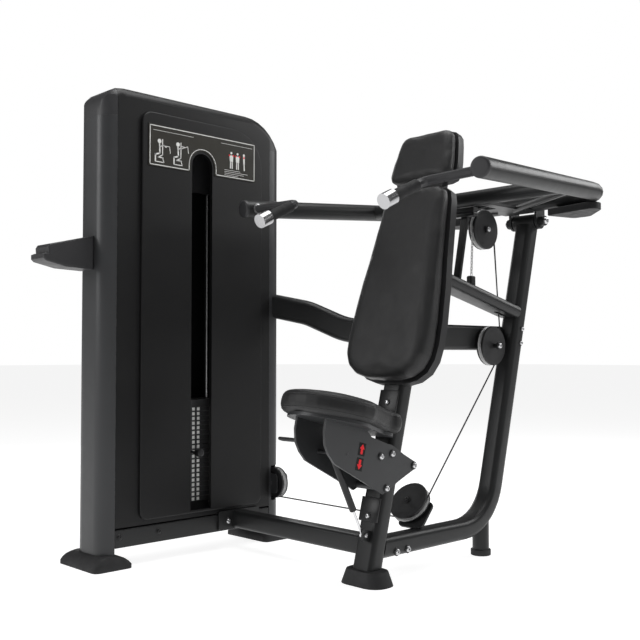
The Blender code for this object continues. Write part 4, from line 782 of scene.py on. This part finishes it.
piece("placard_red", red, "frame", RED)

# ------------------------------------------------------------------ arrows on the seat's side plate
SEAT_SIDE = POST @ Matrix.Translation((0.0631, 0, 0)) @ FACING_X
backs, arrows = bmesh.new(), bmesh.new()
for z0, z1, up in ((0.3555, 0.3925, 1), (0.3120, 0.3490, -1)):
    flat(backs, [(-0.1915, z0), (-0.1635, z0), (-0.1635, z1), (-0.1915, z1)], SEAT_SIDE)
    middle = (z0 + z1) / 2
    shape = [(-0.0045, -0.014), (0.0045, -0.014), (0.0045, 0.001), (0.0105, 0.001), (0, 0.0145),
             (-0.0105, 0.001), (-0.0045, 0.001)]
    points = [(-0.1775 + u, middle + v * up) for u, v in shape]
    flat(arrows, points if up > 0 else points[::-1], SEAT_SIDE @ Matrix.Translation((0, 0, 0.0004)))
piece("arrow_label_backs", backs, "seat", LABEL)
piece("arrow_label_arrows", arrows, "seat", RED)


# ------------------------------------------------------------------ cables at the moving pulley
LINK_PITCH, LINK_WIRE, LINK_WIDTH, LINK_HEIGHT, LINK_STRETCH = 0.0098, 0.0012, 0.0036, 0.0047, 0.0018


def chain(name, a, b, body, size=1.0):
    """Short links, turned a quarter from one to the next, from a to b."""
    along = (b - a).normalized()
    count = int((b - a).length / LINK_PITCH)
    bm = bmesh.new()
    for i in range(count):
        centre = a + along * LINK_PITCH * (i + 0.5)
        frame_turn = turn_to(along) @ Matrix.Rotation(pi / 2 * (i % 2), 4, "Z")
        move = Matrix.Translation(centre) @ frame_turn
        rings = []
        for k in range(16):
            t = 2 * pi * k / 16
            stretch = LINK_STRETCH if sin(t) > 0 else -LINK_STRETCH
            out = Vector((LINK_WIDTH * cos(t), 0, LINK_HEIGHT * sin(t) + stretch))
            radial = Vector((cos(t), 0, sin(t)))
            ring = []
            for m in range(8):
                s = 2 * pi * m / 8
                spot = (out + radial * LINK_WIRE * cos(s) + Vector((0, LINK_WIRE * sin(s), 0))) * size
                ring.append(bm.verts.new(move @ spot))
            rings.append(ring)
        for k in range(16):
            for m in range(8):
                bm.faces.new((rings[k - 1][m - 1], rings[k][m - 1], rings[k][m], rings[k - 1][m]))
    return piece(name, bm, body, CHAIN, 60)


def ends_of(node):
    """The two ends of a straight cable solid."""
    spots = sorted((v.co.copy() for v in NODES[node].data.vertices), key=lambda p: p.z)
    eighth = max(3, len(spots) // 8)
    low = sum(spots[:eighth], Vector()) / eighth
    high = sum(spots[-eighth:], Vector()) / eighth
    return low, high


def cable_along(name, route, body):
    """A plain piece of cable along a route of points."""
    curve = bpy.data.curves.new(name, "CURVE")
    curve.dimensions = "3D"
    curve.bevel_depth = CABLE_RADIUS
    curve.bevel_resolution = 3
    curve.use_fill_caps = True
    line = curve.splines.new("POLY")
    line.points.add(len(route) - 1)
    for spot, co in zip(line.points, route):
        spot.co = (*co, 1)
    made = bpy.data.objects.new(name, curve)
    bpy.context.scene.collection.objects.link(made)
    paint(made, CABLE)
    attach(made, body)


drop_low, drop_high = ends_of("cable_drop")
rise_low, rise_high = ends_of("cable_rise")
drop_chain = chain("drop_chain", drop_low, drop_high, "cable_drop")
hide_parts("cable_drop")
chain("drop_chain_upper", drop_low + (drop_high - drop_low) * 0.12, drop_high, "pulley_hanger", 0.93)
upper_start = rise_high + (rise_low - rise_high) * 0.62
cable_along("rise_cable_upper", [upper_start.lerp(rise_high, i / 8) for i in range(9)], "pulley_hanger")

stack_low, stack_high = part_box("cable_above_stack")
stack_middle = (stack_low + stack_high) / 2
bm = bmesh.new()
cable_length = stack_high.z - stack_low.z
levels = [(CABLE_RADIUS, cable_length * i / 12, 0) for i in range(13)]
lathe(bm, levels, (stack_middle.x, stack_middle.y, stack_low.z), (0, 0, 1), 12)
stack_cable = piece("stack_cable", bm, "frame", CABLE, 60)
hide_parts("cable_above_stack")
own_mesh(stack_cable)

BEAM_WHEEL = Vector(JOINTS["beam_pulley_spin"]["pos_m"])
start = atan2(rise_low.z - BEAM_WHEEL.z, rise_low.y - BEAM_WHEEL.y)
angles = [start - radians(degree) for degree in range(10)]
wrap = [BEAM_WHEEL + WHEEL_GROOVE * Vector((0, cos(angle), sin(angle))) for angle in angles]
cable_along("beam_wheel_wrap", wrap, "frame")

# ------------------------------------------------------------------ floor
floor = bpy.data.objects.new("floor", bpy.data.meshes.new("floor"))
bm = bmesh.new()
bmesh.ops.create_grid(bm, x_segments=1, y_segments=1, size=50)
bm.to_mesh(floor.data)
bm.free()
floor.location.z = -0.0004
bpy.context.scene.collection.objects.link(floor)
ground = Finish("studio_floor", (0.40, 0.40, 0.40), 0.8).cloud(0.4, 0.01)
ground.shader.inputs["Emission Color"].default_value = (1, 1, 1, 1)
ground.shader.inputs["Emission Strength"].default_value = 0.86
paint(floor, ground.bump(ground.noise(4.0), 0.02, 0.002).done())
